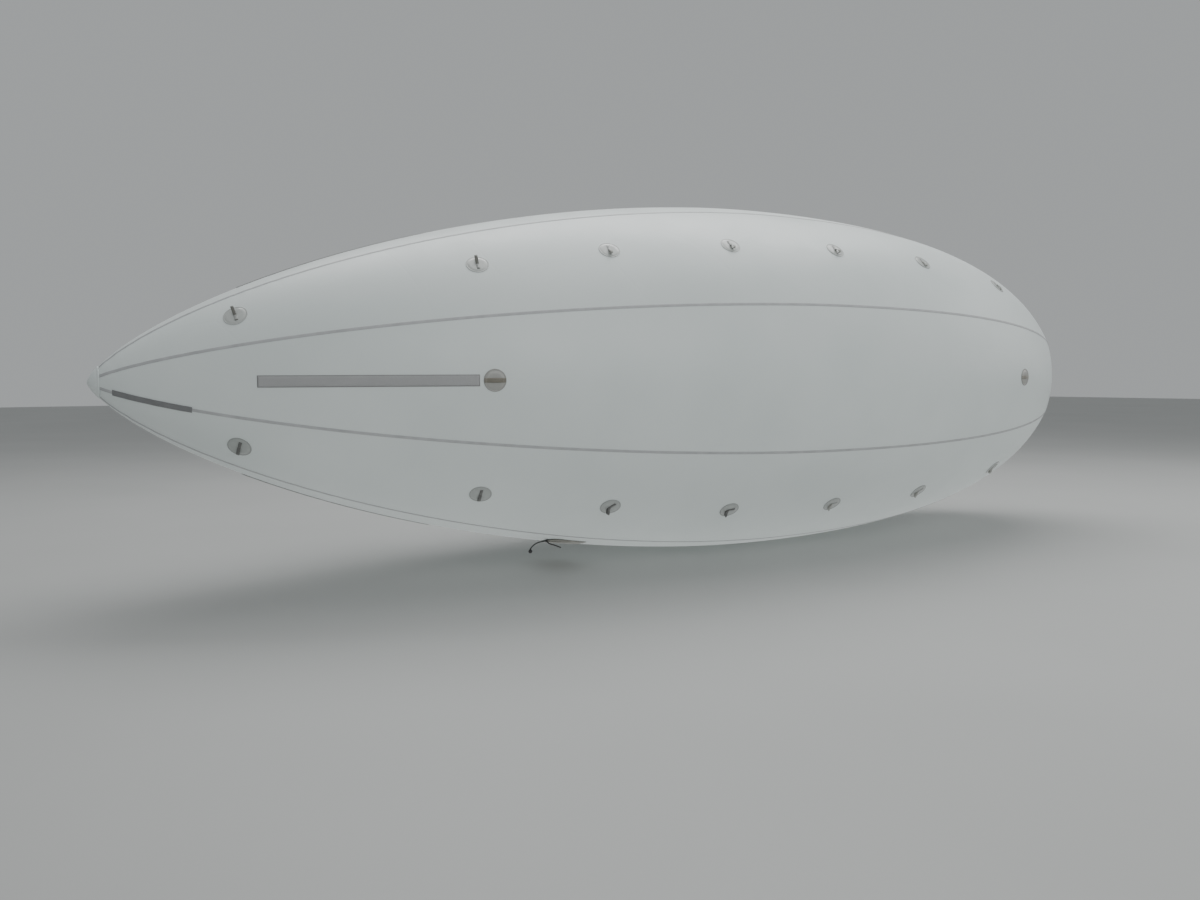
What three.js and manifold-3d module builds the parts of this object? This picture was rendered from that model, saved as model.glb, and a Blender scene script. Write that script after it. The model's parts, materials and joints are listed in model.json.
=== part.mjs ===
import * as THREE from 'three';
import { mergeVertices } from 'three/addons/utils/BufferGeometryUtils.js';
import Module from 'manifold-3d';

// A gored gas balloon shaped like an airship, in millimetres and degrees.
// The origin lies on the long axis at the widest section: +X to the nose, +Z up, -Y to starboard.
// Angles round the axis start at starboard and turn towards the top.

// Envelope: at a share s of a half's length its radius is MAX_RADIUS (1 - s^power)^bluntness
const MAX_RADIUS = 1158;
const NOSE = { length: 2940, power: 2.2, bluntness: 0.4, steps: 11 };
const TAIL = { length: 4060, power: 1.86, bluntness: 0.71, steps: 11 };
const SHELL = 10;
const GORES = 8;
const GORE_ANGLE = 360 / GORES;
const FACETS_PER_GORE = 5;
const FACET_ANGLE = GORE_ANGLE / FACETS_PER_GORE;
const TIP_RADIUS = 30;
const SEAM_CREST = { middle: 0.003, ends: 0.016 };
const GAP = 0.3;

// Welded tapes and end discs
const SEAM_TAPE = { width: 16, thickness: 1.2, endRadius: 60 };
const CLOSING_TAPE = { width: 38, thickness: 1.6, from: -3955, to: -3611, seamAngle: -22.5 };
const NOSE_DISC = { radius: 130, thickness: 3 };
const TAIL_DISC = { radius: 80, thickness: 3 };

// Fin seats and strap patches on the four straight gore lines
const FIN_STRIP = { width: 61, thickness: 3.5, from: -3324, to: -2273 };
const STRAP_PATCH = { radius: 60, thickness: 2.2, strapWidth: 24, strapThickness: 2.6, strapLength: 112 };
const STRAP_STATIONS = { aft: -2196, fore: 1880 };

// Banner loops: a round patch with a folded webbing tab that ends in an open eye
const LOOP_STATIONS = [-3390, -2182, -1420, -618, 199, 1019, 1915];
const LOOP_PATCH = { radius: 62, thickness: 2.2 };
const WEBBING = { width: 18, thickness: 2.5, sewnLength: 38, sink: 0.8 };
const EYE = { length: 50, halfWidth: 11, slitStart: 11, slitSpan: 48, rootOverlap: 2 };
// Bulge of the eye, in shares of its length and of its half width
const EYE_BULGE = [
	{ along: 0.4, across: 0.68 },
	{ along: 0.76, across: 1 },
	{ along: 0.93, across: 0.7 },
];

// Filling sleeve, folded flat under the belly towards starboard
const SLEEVE_FLANGE = { radius: 85, thickness: 2.5, x: -1455 };
const SLEEVE_NECK = { radius: 42, height: 9 };
const SLEEVE_CLEARANCE = 3;
// Leaf section of the sleeve: its depth below the envelope at the root and at the free end
const SLEEVE_LEAF = [
	{ x: -1586, rootDepth: 8, endDepth: 15 },
	{ x: -1545, rootDepth: 12, endDepth: 25 },
	{ x: -1508, rootDepth: 14, endDepth: 29 },
	{ x: -1450, rootDepth: 14, endDepth: 23 },
	{ x: -1400, rootDepth: 12, endDepth: 16 },
	{ x: -1320, rootDepth: 6, endDepth: 8 },
];
// Facet corners that the sleeve passes from its root to its free end, with a shift past each
const SLEEVE_TURNS = [
	{ angle: -94.5, shift: 20 },
	{ angle: -85.5, shift: 0 },
	{ angle: -76.5, shift: 0 },
	{ angle: -76.5, shift: 52 },
];
const TIE_KNOT = { radius: 11, at: [-1597.3, -260, -987] };
const TIE_BALL = { radius: 12.5, at: [-1709.8, -260, -1042.6] };
const TIE_CORD_DIAMETER = 8;

// How finely round things are cut, and how far cutters reach
const DISC_SIDES = 20;
const END_DISC_SIDES = 24;
const CORD_SIDES = 8;
const BALL_SIDES = { round: 12, high: 8 };
const CUTTER_HEIGHT = 120;
const PLACE_REACH = 20;
const SHORTEST_STEP = 1;
const WELD_DISTANCE = 1e-4;

const wasm = await Module();
wasm.setup();

const finishes = {
	film: { color: 0xe4e8e4, roughness: 0.38, metalness: 0 },
	tape: { color: 0x9aa09c, roughness: 0.5, metalness: 0 },
	patch: { color: 0x9da29f, roughness: 0.6, metalness: 0 },
	strip: { color: 0x8b918e, roughness: 0.75, metalness: 0 },
	strap: { color: 0x6b5e45, roughness: 0.8, metalness: 0 },
	sleeve: { color: 0x565b55, roughness: 0.6, metalness: 0 },
	cord: { color: 0x141414, roughness: 0.7, metalness: 0 },
};
const materials = Object.fromEntries(
	Object.entries(finishes).map(([name, finish]) => [name, new THREE.MeshStandardMaterial(finish)])
);
const balloon = new THREE.Group();

function addPiece(name, geometry, finish) {
	const piece = new THREE.Mesh(geometry, materials[finish]);
	piece.name = name;
	balloon.add(piece);
	return piece;
}

// Envelope shape: a profile of stations joined by straight lines, and facets round the axis

function halfAt(x) {
	return x >= 0 ? NOSE : TAIL;
}

function envelopeRadius(x) {
	const { length, power, bluntness } = halfAt(x);
	return MAX_RADIUS * (1 - (Math.abs(x) / length) ** power) ** bluntness;
}

// Change of the radius along X.
function envelopeSlope(x) {
	const { length, power, bluntness } = halfAt(x);
	const share = Math.abs(x) / length;
	const change = MAX_RADIUS * bluntness * power / length;
	return -Math.sign(x) * change * share ** (power - 1) * (1 - share ** power) ** (bluntness - 1);
}

// Distance from the widest section to the place where a half has a given radius.
function stationAtRadius(radius, { length, power, bluntness }) {
	return length * (1 - (radius / MAX_RADIUS) ** (1 / bluntness)) ** (1 / power);
}

// Stations of one half, closer together towards its tip.
function halfStations(half, towards) {
	const endTurn = Math.asin(stationAtRadius(TIP_RADIUS, half) / half.length);
	const sines = Array.from({ length: half.steps }, (_, i) => Math.sin(endTurn * (i + 1) / half.steps));
	return sines.map((sine) => towards * half.length * sine);
}

function profileStations() {
	const xs = [...halfStations(TAIL, -1).reverse(), 0, ...halfStations(NOSE, 1)];
	return xs.map((x) => {
		const normal = new THREE.Vector2(-envelopeSlope(x), 1).normalize();
		return { x, radius: envelopeRadius(x), normal };
	});
}

const stations = profileStations();

function crest(x) {
	const share = Math.abs(x) / halfAt(x).length;
	return SEAM_CREST.middle + (SEAM_CREST.ends - SEAM_CREST.middle) * share ** 4;
}

// A grid point of the faceted envelope, lifted along the profile's normal.
function gridPoint(station, angle, lift) {
	const fromCentre = angle - GORE_ANGLE * Math.round(angle / GORE_ANGLE);
	const seamShare = fromCentre / (GORE_ANGLE / 2);
	const radius = station.radius * (1 + crest(station.x) * seamShare ** 2) + lift * station.normal.y;
	const turn = THREE.MathUtils.degToRad(angle);
	return new THREE.Vector3(
		station.x + lift * station.normal.x,
		-radius * Math.cos(turn),
		radius * Math.sin(turn),
	);
}

// A point of the faceted surface itself: x picks the place between two stations,
// angle a corner line of the facets, and shift a distance from that line towards the next one.
function skinPoint(x, angle, lift, shift = 0) {
	const last = stations.length - 2;
	const found = stations.findIndex((station) => station.x > x);
	const index = found < 0 ? last : Math.min(last, Math.max(0, found - 1));
	const [low, high] = [stations[index], stations[index + 1]];
	const share = (x - low.x) / (high.x - low.x);
	const corner = gridPoint(low, angle, lift).lerp(gridPoint(high, angle, lift), share);
	if (shift === 0) return corner;
	const nextAngle = angle + Math.sign(shift) * FACET_ANGLE;
	const next = gridPoint(low, nextAngle, lift).lerp(gridPoint(high, nextAngle, lift), share);
	return corner.lerp(next, Math.abs(shift) / corner.distanceTo(next));
}

function stationsBetween(from, to) {
	const inside = stations.filter(({ x }) => x > from + SHORTEST_STEP && x < to - SHORTEST_STEP);
	return [from, ...inside.map(({ x }) => x), to];
}

// Closed bodies from points and triangles

function closedGeometry(points, triangles) {
	let volume = 0;
	for (const [a, b, c] of triangles) {
		volume += points[a].dot(new THREE.Vector3().crossVectors(points[b], points[c]));
	}
	const faces = volume < 0 ? triangles.map(([a, b, c]) => [a, c, b]) : triangles;
	const geometry = new THREE.BufferGeometry();
	geometry.setAttribute('position', new THREE.Float32BufferAttribute(points.flatMap((p) => p.toArray()), 3));
	geometry.setIndex(faces.flat());
	return geometry;
}

// A closed band: each section is a row of outer points and a row of inner points beneath them.
function bandGeometry(sections) {
	const count = sections[0].outer.length;
	const ring = 2 * count;
	const points = sections.flatMap(({ outer, inner }) => [...outer, ...[...inner].reverse()]);
	const triangles = [];
	for (let s = 0; s < sections.length - 1; s++) {
		for (let k = 0; k < ring; k++) {
			const [a, b] = [s * ring + k, s * ring + (k + 1) % ring];
			triangles.push([a, b, a + ring], [b, b + ring, a + ring]);
		}
	}
	for (const [start, flip] of [[0, true], [(sections.length - 1) * ring, false]]) {
		for (let k = 0; k < count - 1; k++) {
			const [a, b] = [start + k, start + k + 1];
			const [c, d] = [start + ring - 1 - k, start + ring - 2 - k];
			const pair = [[a, b, c], [b, d, c]];
			triangles.push(...(flip ? pair.map(([p, q, r]) => [p, r, q]) : pair));
		}
	}
	return closedGeometry(points, triangles);
}

// A closed body from full rings round the axis, with a pole at each end.
function ringGeometry(rings, poles) {
	const size = rings[0].length;
	const points = [...rings.flat(), ...poles];
	const [startPole, endPole] = [points.length - 2, points.length - 1];
	const triangles = [];
	for (let k = 0; k < size; k++) {
		const next = (k + 1) % size;
		const lastRing = (rings.length - 1) * size;
		triangles.push([startPole, next, k], [endPole, lastRing + k, lastRing + next]);
		for (let r = 0; r < rings.length - 1; r++) {
			const [a, b] = [r * size + k, r * size + next];
			triangles.push([a, b, a + size], [b, b + size, a + size]);
		}
	}
	return closedGeometry(points, triangles);
}

function facetAngles() {
	return Array.from({ length: GORES * FACETS_PER_GORE }, (_, k) => -GORE_ANGLE / 2 + FACET_ANGLE * k);
}

// Solids for cutting and joining

function toSolid(geometry) {
	const bare = geometry.clone();
	bare.deleteAttribute('normal');
	bare.deleteAttribute('uv');
	const merged = mergeVertices(bare, WELD_DISTANCE);
	return new wasm.Manifold(new wasm.Mesh({
		numProp: 3,
		vertProperties: new Float32Array(merged.attributes.position.array),
		triVerts: new Uint32Array(merged.index.array),
	}));
}

function toGeometry(solid) {
	const mesh = solid.getMesh();
	const geometry = new THREE.BufferGeometry();
	geometry.setAttribute('position', new THREE.BufferAttribute(mesh.vertProperties, 3));
	geometry.setIndex(new THREE.BufferAttribute(mesh.triVerts, 1));
	return geometry;
}

const skins = new Map();

// Everything inside the envelope's outer surface, lifted by a distance.
function skinSolid(lift) {
	if (!skins.has(lift)) {
		const rings = stations.map((station) => facetAngles().map((angle) => gridPoint(station, angle, lift)));
		const poles = [rings[0], rings.at(-1)].map((ring) => new THREE.Vector3(ring[0].x, 0, 0));
		skins.set(lift, toSolid(ringGeometry(rings, poles)));
	}
	return skins.get(lift);
}

// The part of a cutter that lies between two lifts over the envelope.
function layer(cutter, low, high) {
	return toSolid(cutter).intersect(skinSolid(high)).subtract(skinSolid(low));
}

// Axes of a place on the envelope: x along the surface to the nose, y across it, z outwards.
function placeAt(x, angle) {
	const half = FACET_ANGLE / 2;
	const [port, starboard] = [skinPoint(x, angle + half, 0), skinPoint(x, angle - half, 0)];
	const ahead = skinPoint(x + PLACE_REACH, angle + half, 0).sub(skinPoint(x - PLACE_REACH, angle + half, 0));
	const across = port.clone().sub(starboard).normalize();
	const along = ahead.addScaledVector(across, -ahead.dot(across)).normalize();
	const outwards = new THREE.Vector3().crossVectors(along, across);
	const origin = port.add(starboard).multiplyScalar(0.5);
	const radial = new THREE.Vector3(0, origin.y, origin.z);
	if (outwards.dot(radial) < 0) {
		across.negate();
		outwards.negate();
	}
	const frame = new THREE.Matrix4().makeBasis(along, across, outwards).setPosition(origin);
	return { along, across, outwards, frame };
}

function discCutter(radius, frame) {
	return new THREE.CylinderGeometry(radius, radius, CUTTER_HEIGHT, DISC_SIDES)
		.rotateX(Math.PI / 2)
		.applyMatrix4(frame);
}

function boxCutter(length, width, offsetAcross, frame) {
	return new THREE.BoxGeometry(length, width, CUTTER_HEIGHT)
		.translate(0, offsetAcross, 0)
		.applyMatrix4(frame);
}

// Gores and seam tapes

const GORE_NAMES = [
	'gore_starboard', 'gore_starboard_upper', 'gore_top', 'gore_port_upper',
	'gore_port', 'gore_port_lower', 'gore_belly', 'gore_starboard_lower',
];

function goreSection(station, centre) {
	const rows = { outer: 0, inner: -SHELL };
	const section = {};
	for (const [row, lift] of Object.entries(rows)) {
		section[row] = [];
		for (let k = 0; k <= FACETS_PER_GORE; k++) {
			const angle = centre + GORE_ANGLE * (k / FACETS_PER_GORE - 0.5);
			const point = gridPoint(station, angle, lift);
			const side = k === 0 ? 1 : k === FACETS_PER_GORE ? -1 : 0;
			const turn = THREE.MathUtils.degToRad(angle);
			const towardsCentre = new THREE.Vector3(0, Math.sin(turn), Math.cos(turn));
			section[row].push(point.addScaledVector(towardsCentre, side * GAP / 2));
		}
	}
	return section;
}

function makeGores() {
	GORE_NAMES.forEach((name, index) => {
		const sections = stations.map((station) => goreSection(station, index * GORE_ANGLE));
		addPiece(name, bandGeometry(sections), 'film');
	});
}

function tapeGeometry({ width, thickness, from, to, seamAngle, lift }) {
	const sections = stationsBetween(from, to).map((x) => {
		const shifts = [-width / 2, 0, width / 2];
		const row = (height) => shifts.map((shift) => skinPoint(x, seamAngle, height, shift));
		return { outer: row(lift + thickness), inner: row(lift) };
	});
	return bandGeometry(sections);
}

function makeTapes() {
	const from = -stationAtRadius(SEAM_TAPE.endRadius, TAIL);
	const to = stationAtRadius(SEAM_TAPE.endRadius, NOSE);
	for (let i = 0; i < GORES; i++) {
		const seamAngle = (i + 0.5) * GORE_ANGLE;
		addPiece(`seam_tape_${i + 1}`, tapeGeometry({ ...SEAM_TAPE, from, to, seamAngle, lift: GAP }), 'tape');
	}
	const lift = 2 * GAP + SEAM_TAPE.thickness;
	addPiece('closing_tape', tapeGeometry({ ...CLOSING_TAPE, lift }), 'tape');
}

// A round cap over the gore tips, lying on the ends of the seam tapes.
function makeEndDisc(name, { radius, thickness }, towards) {
	const low = 2 * GAP + SEAM_TAPE.thickness;
	const reach = NOSE.length + TAIL.length;
	const cutter = new THREE.CylinderGeometry(radius, radius, reach, END_DISC_SIDES)
		.rotateZ(Math.PI / 2)
		.translate(towards * reach / 2, 0, 0);
	const disc = layer(cutter, low, low + thickness);
	addPiece(name, toGeometry(disc), 'patch');
}

// Fin seats, strap patches and banner loops

const STRAIGHT_LINES = { starboard: 0, top: 90, port: 180, belly: 270 };

function makeFinStrips() {
	const half = FACET_ANGLE / 2;
	for (const [side, angle] of Object.entries(STRAIGHT_LINES)) {
		const sections = stationsBetween(FIN_STRIP.from, FIN_STRIP.to).map((x) => {
			const row = (lift) => {
				const [low, high] = [skinPoint(x, angle - half, lift), skinPoint(x, angle + half, lift)];
				const inset = (low.distanceTo(high) - FIN_STRIP.width) / 2;
				return [skinPoint(x, angle - half, lift, inset), skinPoint(x, angle + half, lift, -inset)];
			};
			return { outer: row(GAP + FIN_STRIP.thickness), inner: row(GAP) };
		});
		addPiece(`fin_strip_${side}`, bandGeometry(sections), 'strip');
	}
}

function makeStrapPatches() {
	const { radius, thickness, strapWidth, strapThickness, strapLength } = STRAP_PATCH;
	const top = GAP + thickness;
	for (const side of ['starboard', 'port']) {
		for (const [end, x] of Object.entries(STRAP_STATIONS)) {
			const { frame } = placeAt(x, STRAIGHT_LINES[side]);
			const disc = layer(discCutter(radius, frame), GAP, top);
			const bar = boxCutter(strapLength, strapWidth, 0, frame);
			const strap = layer(bar, top - WEBBING.sink, top + strapThickness);
			addPiece(`strap_patch_${side}_${end}`, toGeometry(disc.add(strap)), 'strap');
		}
	}
}

// Outline of the eye or of its slit, in the eye's plane: x away from the patch, y across the eye.
function eyeOutline(root, span, halfWidth, end) {
	const side = [root, ...EYE_BULGE.map(({ along, across }) => [along * span, across * halfWidth])];
	const otherSide = side.filter(([, y]) => y > 0).reverse();
	const outline = [...side.map(([x, y]) => [x, -y]), [end, 0], ...otherSide];
	return outline.map(([x, y]) => new THREE.Vector2(x, y));
}

function eyeGeometry() {
	const { thickness, width } = WEBBING;
	const { length, halfWidth, slitStart, slitSpan, rootOverlap } = EYE;
	const shape = new THREE.Shape(eyeOutline([-rootOverlap, thickness], length, halfWidth, length));
	const slit = eyeOutline([slitStart, 0], slitSpan, halfWidth - thickness, length - thickness);
	shape.holes.push(new THREE.Path(slit));
	return new THREE.ExtrudeGeometry(shape, { depth: width, bevelEnabled: false }).translate(0, 0, -width / 2);
}

function makeBannerLoop(name, x, angle) {
	const { along, across, outwards, frame } = placeAt(x, angle);
	const top = GAP + LOOP_PATCH.thickness;
	const upwards = Math.sign(Math.sin(THREE.MathUtils.degToRad(angle)));
	const sewnSide = -Math.sign(across.z) * upwards;
	const disc = layer(discCutter(LOOP_PATCH.radius, frame), GAP, top);
	const sewn = boxCutter(WEBBING.width, WEBBING.sewnLength, sewnSide * WEBBING.sewnLength / 2, frame);
	const tab = layer(sewn, top - WEBBING.sink, top + 2 * WEBBING.thickness);

	// The eye stands in the plane across the patch, straight up on the upper rows and down on the lower ones.
	const vertical = new THREE.Vector3(0, 0, upwards);
	const reach = vertical.addScaledVector(along, -vertical.dot(along)).normalize();
	const sideways = new THREE.Vector3().crossVectors(along, reach);
	const root = new THREE.Vector3().setFromMatrixPosition(frame)
		.addScaledVector(outwards, top + WEBBING.thickness)
		.addScaledVector(across, sewnSide * WEBBING.thickness);
	const eyeFrame = new THREE.Matrix4().makeBasis(reach, sideways, along).setPosition(root);
	const eye = toSolid(eyeGeometry().applyMatrix4(eyeFrame)).subtract(skinSolid(top - WEBBING.sink));
	addPiece(name, toGeometry(disc.add(tab).add(eye)), 'patch');
}

function makeBannerLoops() {
	const rows = { starboard_upper: 45, starboard_lower: -45, port_upper: 135, port_lower: 225 };
	for (const [row, angle] of Object.entries(rows)) {
		LOOP_STATIONS.forEach((x, index) => makeBannerLoop(`banner_loop_${row}_${index + 1}`, x, angle));
	}
}

// Filling sleeve, with its flange, tie knot, cord, cord tail and ball

function ballGeometry(radius) {
	return new THREE.SphereGeometry(radius, BALL_SIDES.round, BALL_SIDES.high);
}

function makeFillingSleeve() {
	const { frame } = placeAt(SLEEVE_FLANGE.x, STRAIGHT_LINES.belly);
	const flange = layer(discCutter(SLEEVE_FLANGE.radius, frame), GAP, GAP + SLEEVE_FLANGE.thickness);
	const neck = layer(discCutter(SLEEVE_NECK.radius, frame), SLEEVE_FLANGE.thickness, SLEEVE_NECK.height);
	const sections = SLEEVE_TURNS.map(({ angle, shift }, step) => {
		const share = step / (SLEEVE_TURNS.length - 1);
		const outer = SLEEVE_LEAF.map(({ x, rootDepth, endDepth }) => {
			const depth = THREE.MathUtils.lerp(rootDepth, endDepth, share);
			return skinPoint(x, angle, SLEEVE_CLEARANCE + depth, shift);
		});
		return { outer, inner: SLEEVE_LEAF.map(({ x }) => skinPoint(x, angle, 0, shift)) };
	});
	const knotSeat = ballGeometry(TIE_KNOT.radius + GAP).translate(...TIE_KNOT.at);
	const sleeve = toSolid(bandGeometry(sections))
		.subtract(skinSolid(SLEEVE_CLEARANCE))
		.subtract(toSolid(knotSeat));
	addPiece('filling_sleeve', toGeometry(sleeve.add(neck).add(flange)), 'sleeve');
}

function cordGeometry(points, diameter) {
	const curve = new THREE.CatmullRomCurve3(points.map(([x, y, z]) => new THREE.Vector3(x, y, z)));
	const section = new THREE.Shape(
		Array.from({ length: CORD_SIDES }, (_, k) => {
			const turn = 2 * Math.PI * k / CORD_SIDES;
			return new THREE.Vector2(Math.cos(turn) * diameter / 2, Math.sin(turn) * diameter / 2);
		})
	);
	return new THREE.ExtrudeGeometry(section, { steps: points.length - 1, extrudePath: curve });
}

// Routes of the free cord to the ball and of its short tail, point by point
const TIE_CORD_ROUTE = [
	[-1608.9, -260, -987.3], [-1618, -260, -987.6], [-1627, -260, -988.0], [-1636, -260, -988.7],
	[-1645, -260, -989.8], [-1654, -260, -991.5], [-1663, -260, -993.9], [-1672, -260, -997.1],
	[-1680.5, -260, -1001.2], [-1688.5, -260, -1006.2], [-1695.5, -260, -1011.8], [-1701, -260, -1017.2],
	[-1705, -260, -1021.5], [-1707.8, -260, -1025.5], [-1709.2, -260, -1029.6],
];
const TIE_TAIL_ROUTE = [
	[-1590.5, -260, -996.4], [-1587.2, -260, -1000.6], [-1582.8, -260, -1003.9], [-1577.6, -260, -1006.7],
	[-1571.4, -260, -1009.2], [-1565, -260, -1011.4], [-1558, -260, -1013.8], [-1551, -260, -1016.2],
	[-1544, -260, -1018.7], [-1537, -260, -1021.4], [-1530, -260, -1024.2], [-1523, -260, -1027.1],
	[-1516, -260, -1030.2], [-1509, -260, -1033.3], [-1502, -260, -1036.6],
];

function makeTie() {
	for (const [name, { radius, at }] of Object.entries({ tie_knot: TIE_KNOT, tie_ball: TIE_BALL })) {
		addPiece(name, ballGeometry(radius), 'cord').position.set(...at);
	}
	addPiece('tie_cord', cordGeometry(TIE_CORD_ROUTE, TIE_CORD_DIAMETER), 'cord');
	addPiece('tie_tail', cordGeometry(TIE_TAIL_ROUTE, TIE_CORD_DIAMETER), 'cord');
}

makeGores();
makeTapes();
makeEndDisc('nose_disc', NOSE_DISC, 1);
makeEndDisc('tail_disc', TAIL_DISC, -1);
makeFinStrips();
makeStrapPatches();
makeBannerLoops();
makeFillingSleeve();
makeTie();

export default balloon;
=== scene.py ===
"""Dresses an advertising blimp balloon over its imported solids.

The pieces are the film gores, the welded tapes and end caps, the fin seats, the strap patches, the
banner loops, the filling sleeve and its tie. Lengths are in metres and angles in degrees. Angles round
the long axis start at starboard and turn towards the top.
"""

import json
import logging
import math
from bisect import bisect_right
from dataclasses import dataclass, field, replace
from enum import Enum
from typing import Callable, Sequence

import bmesh
import bpy
from bmesh.types import BMesh
from bpy.types import Material, Node, NodeSocket, Object
from mathutils import Matrix, Vector
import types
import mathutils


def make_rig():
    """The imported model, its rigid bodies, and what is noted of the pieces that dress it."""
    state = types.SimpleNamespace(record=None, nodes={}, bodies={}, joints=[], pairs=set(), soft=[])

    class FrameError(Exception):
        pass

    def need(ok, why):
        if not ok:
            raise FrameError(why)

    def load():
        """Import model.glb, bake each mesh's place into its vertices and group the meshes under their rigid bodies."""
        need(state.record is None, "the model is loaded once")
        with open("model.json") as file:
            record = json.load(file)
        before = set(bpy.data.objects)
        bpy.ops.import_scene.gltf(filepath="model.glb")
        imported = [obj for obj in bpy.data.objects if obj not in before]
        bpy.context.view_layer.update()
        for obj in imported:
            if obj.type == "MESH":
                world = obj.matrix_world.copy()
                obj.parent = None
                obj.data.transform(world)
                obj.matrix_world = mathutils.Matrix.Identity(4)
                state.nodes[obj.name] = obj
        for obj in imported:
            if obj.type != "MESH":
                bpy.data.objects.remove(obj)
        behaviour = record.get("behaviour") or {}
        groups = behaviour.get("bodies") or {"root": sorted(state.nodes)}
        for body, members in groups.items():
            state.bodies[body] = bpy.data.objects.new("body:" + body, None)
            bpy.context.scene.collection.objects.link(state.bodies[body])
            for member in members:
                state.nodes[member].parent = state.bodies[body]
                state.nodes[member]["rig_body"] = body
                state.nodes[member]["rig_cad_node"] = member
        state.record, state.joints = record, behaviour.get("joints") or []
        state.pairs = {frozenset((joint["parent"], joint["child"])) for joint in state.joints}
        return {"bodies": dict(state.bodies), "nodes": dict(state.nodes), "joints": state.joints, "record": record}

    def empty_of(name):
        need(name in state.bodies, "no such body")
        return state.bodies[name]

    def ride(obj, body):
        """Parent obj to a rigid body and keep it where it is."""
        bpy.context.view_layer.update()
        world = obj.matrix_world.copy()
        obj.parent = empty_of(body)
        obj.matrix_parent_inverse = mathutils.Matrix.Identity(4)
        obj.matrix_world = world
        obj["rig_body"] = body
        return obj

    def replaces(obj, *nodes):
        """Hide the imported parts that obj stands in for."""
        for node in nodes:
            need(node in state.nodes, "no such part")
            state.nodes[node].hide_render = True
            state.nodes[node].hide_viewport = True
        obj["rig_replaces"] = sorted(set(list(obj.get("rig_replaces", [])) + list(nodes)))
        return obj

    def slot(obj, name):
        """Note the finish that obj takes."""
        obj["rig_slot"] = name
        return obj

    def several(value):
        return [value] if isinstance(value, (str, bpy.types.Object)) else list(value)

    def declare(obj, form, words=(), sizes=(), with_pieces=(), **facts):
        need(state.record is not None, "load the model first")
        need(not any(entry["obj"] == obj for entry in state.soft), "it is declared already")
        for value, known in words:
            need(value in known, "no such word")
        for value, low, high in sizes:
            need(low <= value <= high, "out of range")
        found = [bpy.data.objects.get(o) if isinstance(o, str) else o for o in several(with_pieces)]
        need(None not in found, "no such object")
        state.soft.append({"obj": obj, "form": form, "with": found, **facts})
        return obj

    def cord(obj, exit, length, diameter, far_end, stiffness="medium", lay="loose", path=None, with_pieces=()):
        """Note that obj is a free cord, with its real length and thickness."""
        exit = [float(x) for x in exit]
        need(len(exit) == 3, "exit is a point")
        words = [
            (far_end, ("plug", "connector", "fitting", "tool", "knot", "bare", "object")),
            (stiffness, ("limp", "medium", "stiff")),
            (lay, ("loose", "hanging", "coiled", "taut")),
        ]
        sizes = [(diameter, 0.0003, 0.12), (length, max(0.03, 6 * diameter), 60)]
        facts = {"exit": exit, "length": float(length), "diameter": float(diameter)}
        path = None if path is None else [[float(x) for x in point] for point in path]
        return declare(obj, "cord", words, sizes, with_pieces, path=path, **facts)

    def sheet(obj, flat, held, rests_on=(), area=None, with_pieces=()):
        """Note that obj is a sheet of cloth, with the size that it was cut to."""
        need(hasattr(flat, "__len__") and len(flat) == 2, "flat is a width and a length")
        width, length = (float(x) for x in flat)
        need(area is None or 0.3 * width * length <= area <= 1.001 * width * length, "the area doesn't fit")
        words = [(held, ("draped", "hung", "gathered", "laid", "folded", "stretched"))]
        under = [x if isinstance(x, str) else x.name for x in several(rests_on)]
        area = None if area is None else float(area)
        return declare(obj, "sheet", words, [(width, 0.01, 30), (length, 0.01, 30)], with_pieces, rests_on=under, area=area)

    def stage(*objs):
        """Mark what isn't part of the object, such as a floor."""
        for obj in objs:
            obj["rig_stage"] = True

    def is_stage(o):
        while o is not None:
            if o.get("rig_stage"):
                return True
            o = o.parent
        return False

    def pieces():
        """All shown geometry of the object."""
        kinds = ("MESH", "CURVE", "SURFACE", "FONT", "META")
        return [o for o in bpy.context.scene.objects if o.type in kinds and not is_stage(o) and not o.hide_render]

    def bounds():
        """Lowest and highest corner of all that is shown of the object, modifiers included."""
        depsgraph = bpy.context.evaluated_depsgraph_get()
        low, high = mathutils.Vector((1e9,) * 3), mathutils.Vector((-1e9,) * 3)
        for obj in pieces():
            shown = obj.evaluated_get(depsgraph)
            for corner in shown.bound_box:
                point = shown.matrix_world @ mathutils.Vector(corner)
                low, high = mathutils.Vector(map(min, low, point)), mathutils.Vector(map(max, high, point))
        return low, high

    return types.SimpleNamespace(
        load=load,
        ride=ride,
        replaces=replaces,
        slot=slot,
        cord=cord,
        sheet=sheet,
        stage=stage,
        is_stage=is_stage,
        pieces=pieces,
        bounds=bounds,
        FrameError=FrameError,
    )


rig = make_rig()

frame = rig.load()

LOG = logging.getLogger("blimp")
SIZE_FILE = "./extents.json"
BODY = "root"
# Points closer than this are one
MERGE = 1e-6
# How deep a piece sinks into the one that it is sewn or pressed on
SINK = 0.0002
Corner = tuple[float, float]
Point = tuple[float, float, float]
Colour = tuple[float, float, float, float]


# The envelope's shape, on which every piece is laid


@dataclass(frozen=True)
class Half:
    """One half of the envelope's profile, from the widest section to a tip."""

    length: float
    power: float
    bluntness: float


@dataclass(frozen=True)
class Ripple:
    """One wave of the puckers: its height's share, its radians to a metre and its shift at each seam."""

    share: float
    rate: float
    shift: float

    def height(self, reach: float, seam: int) -> float:
        """Its height at a distance along a seam."""
        return self.share * math.sin(self.rate * reach + self.shift * seam)


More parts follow.
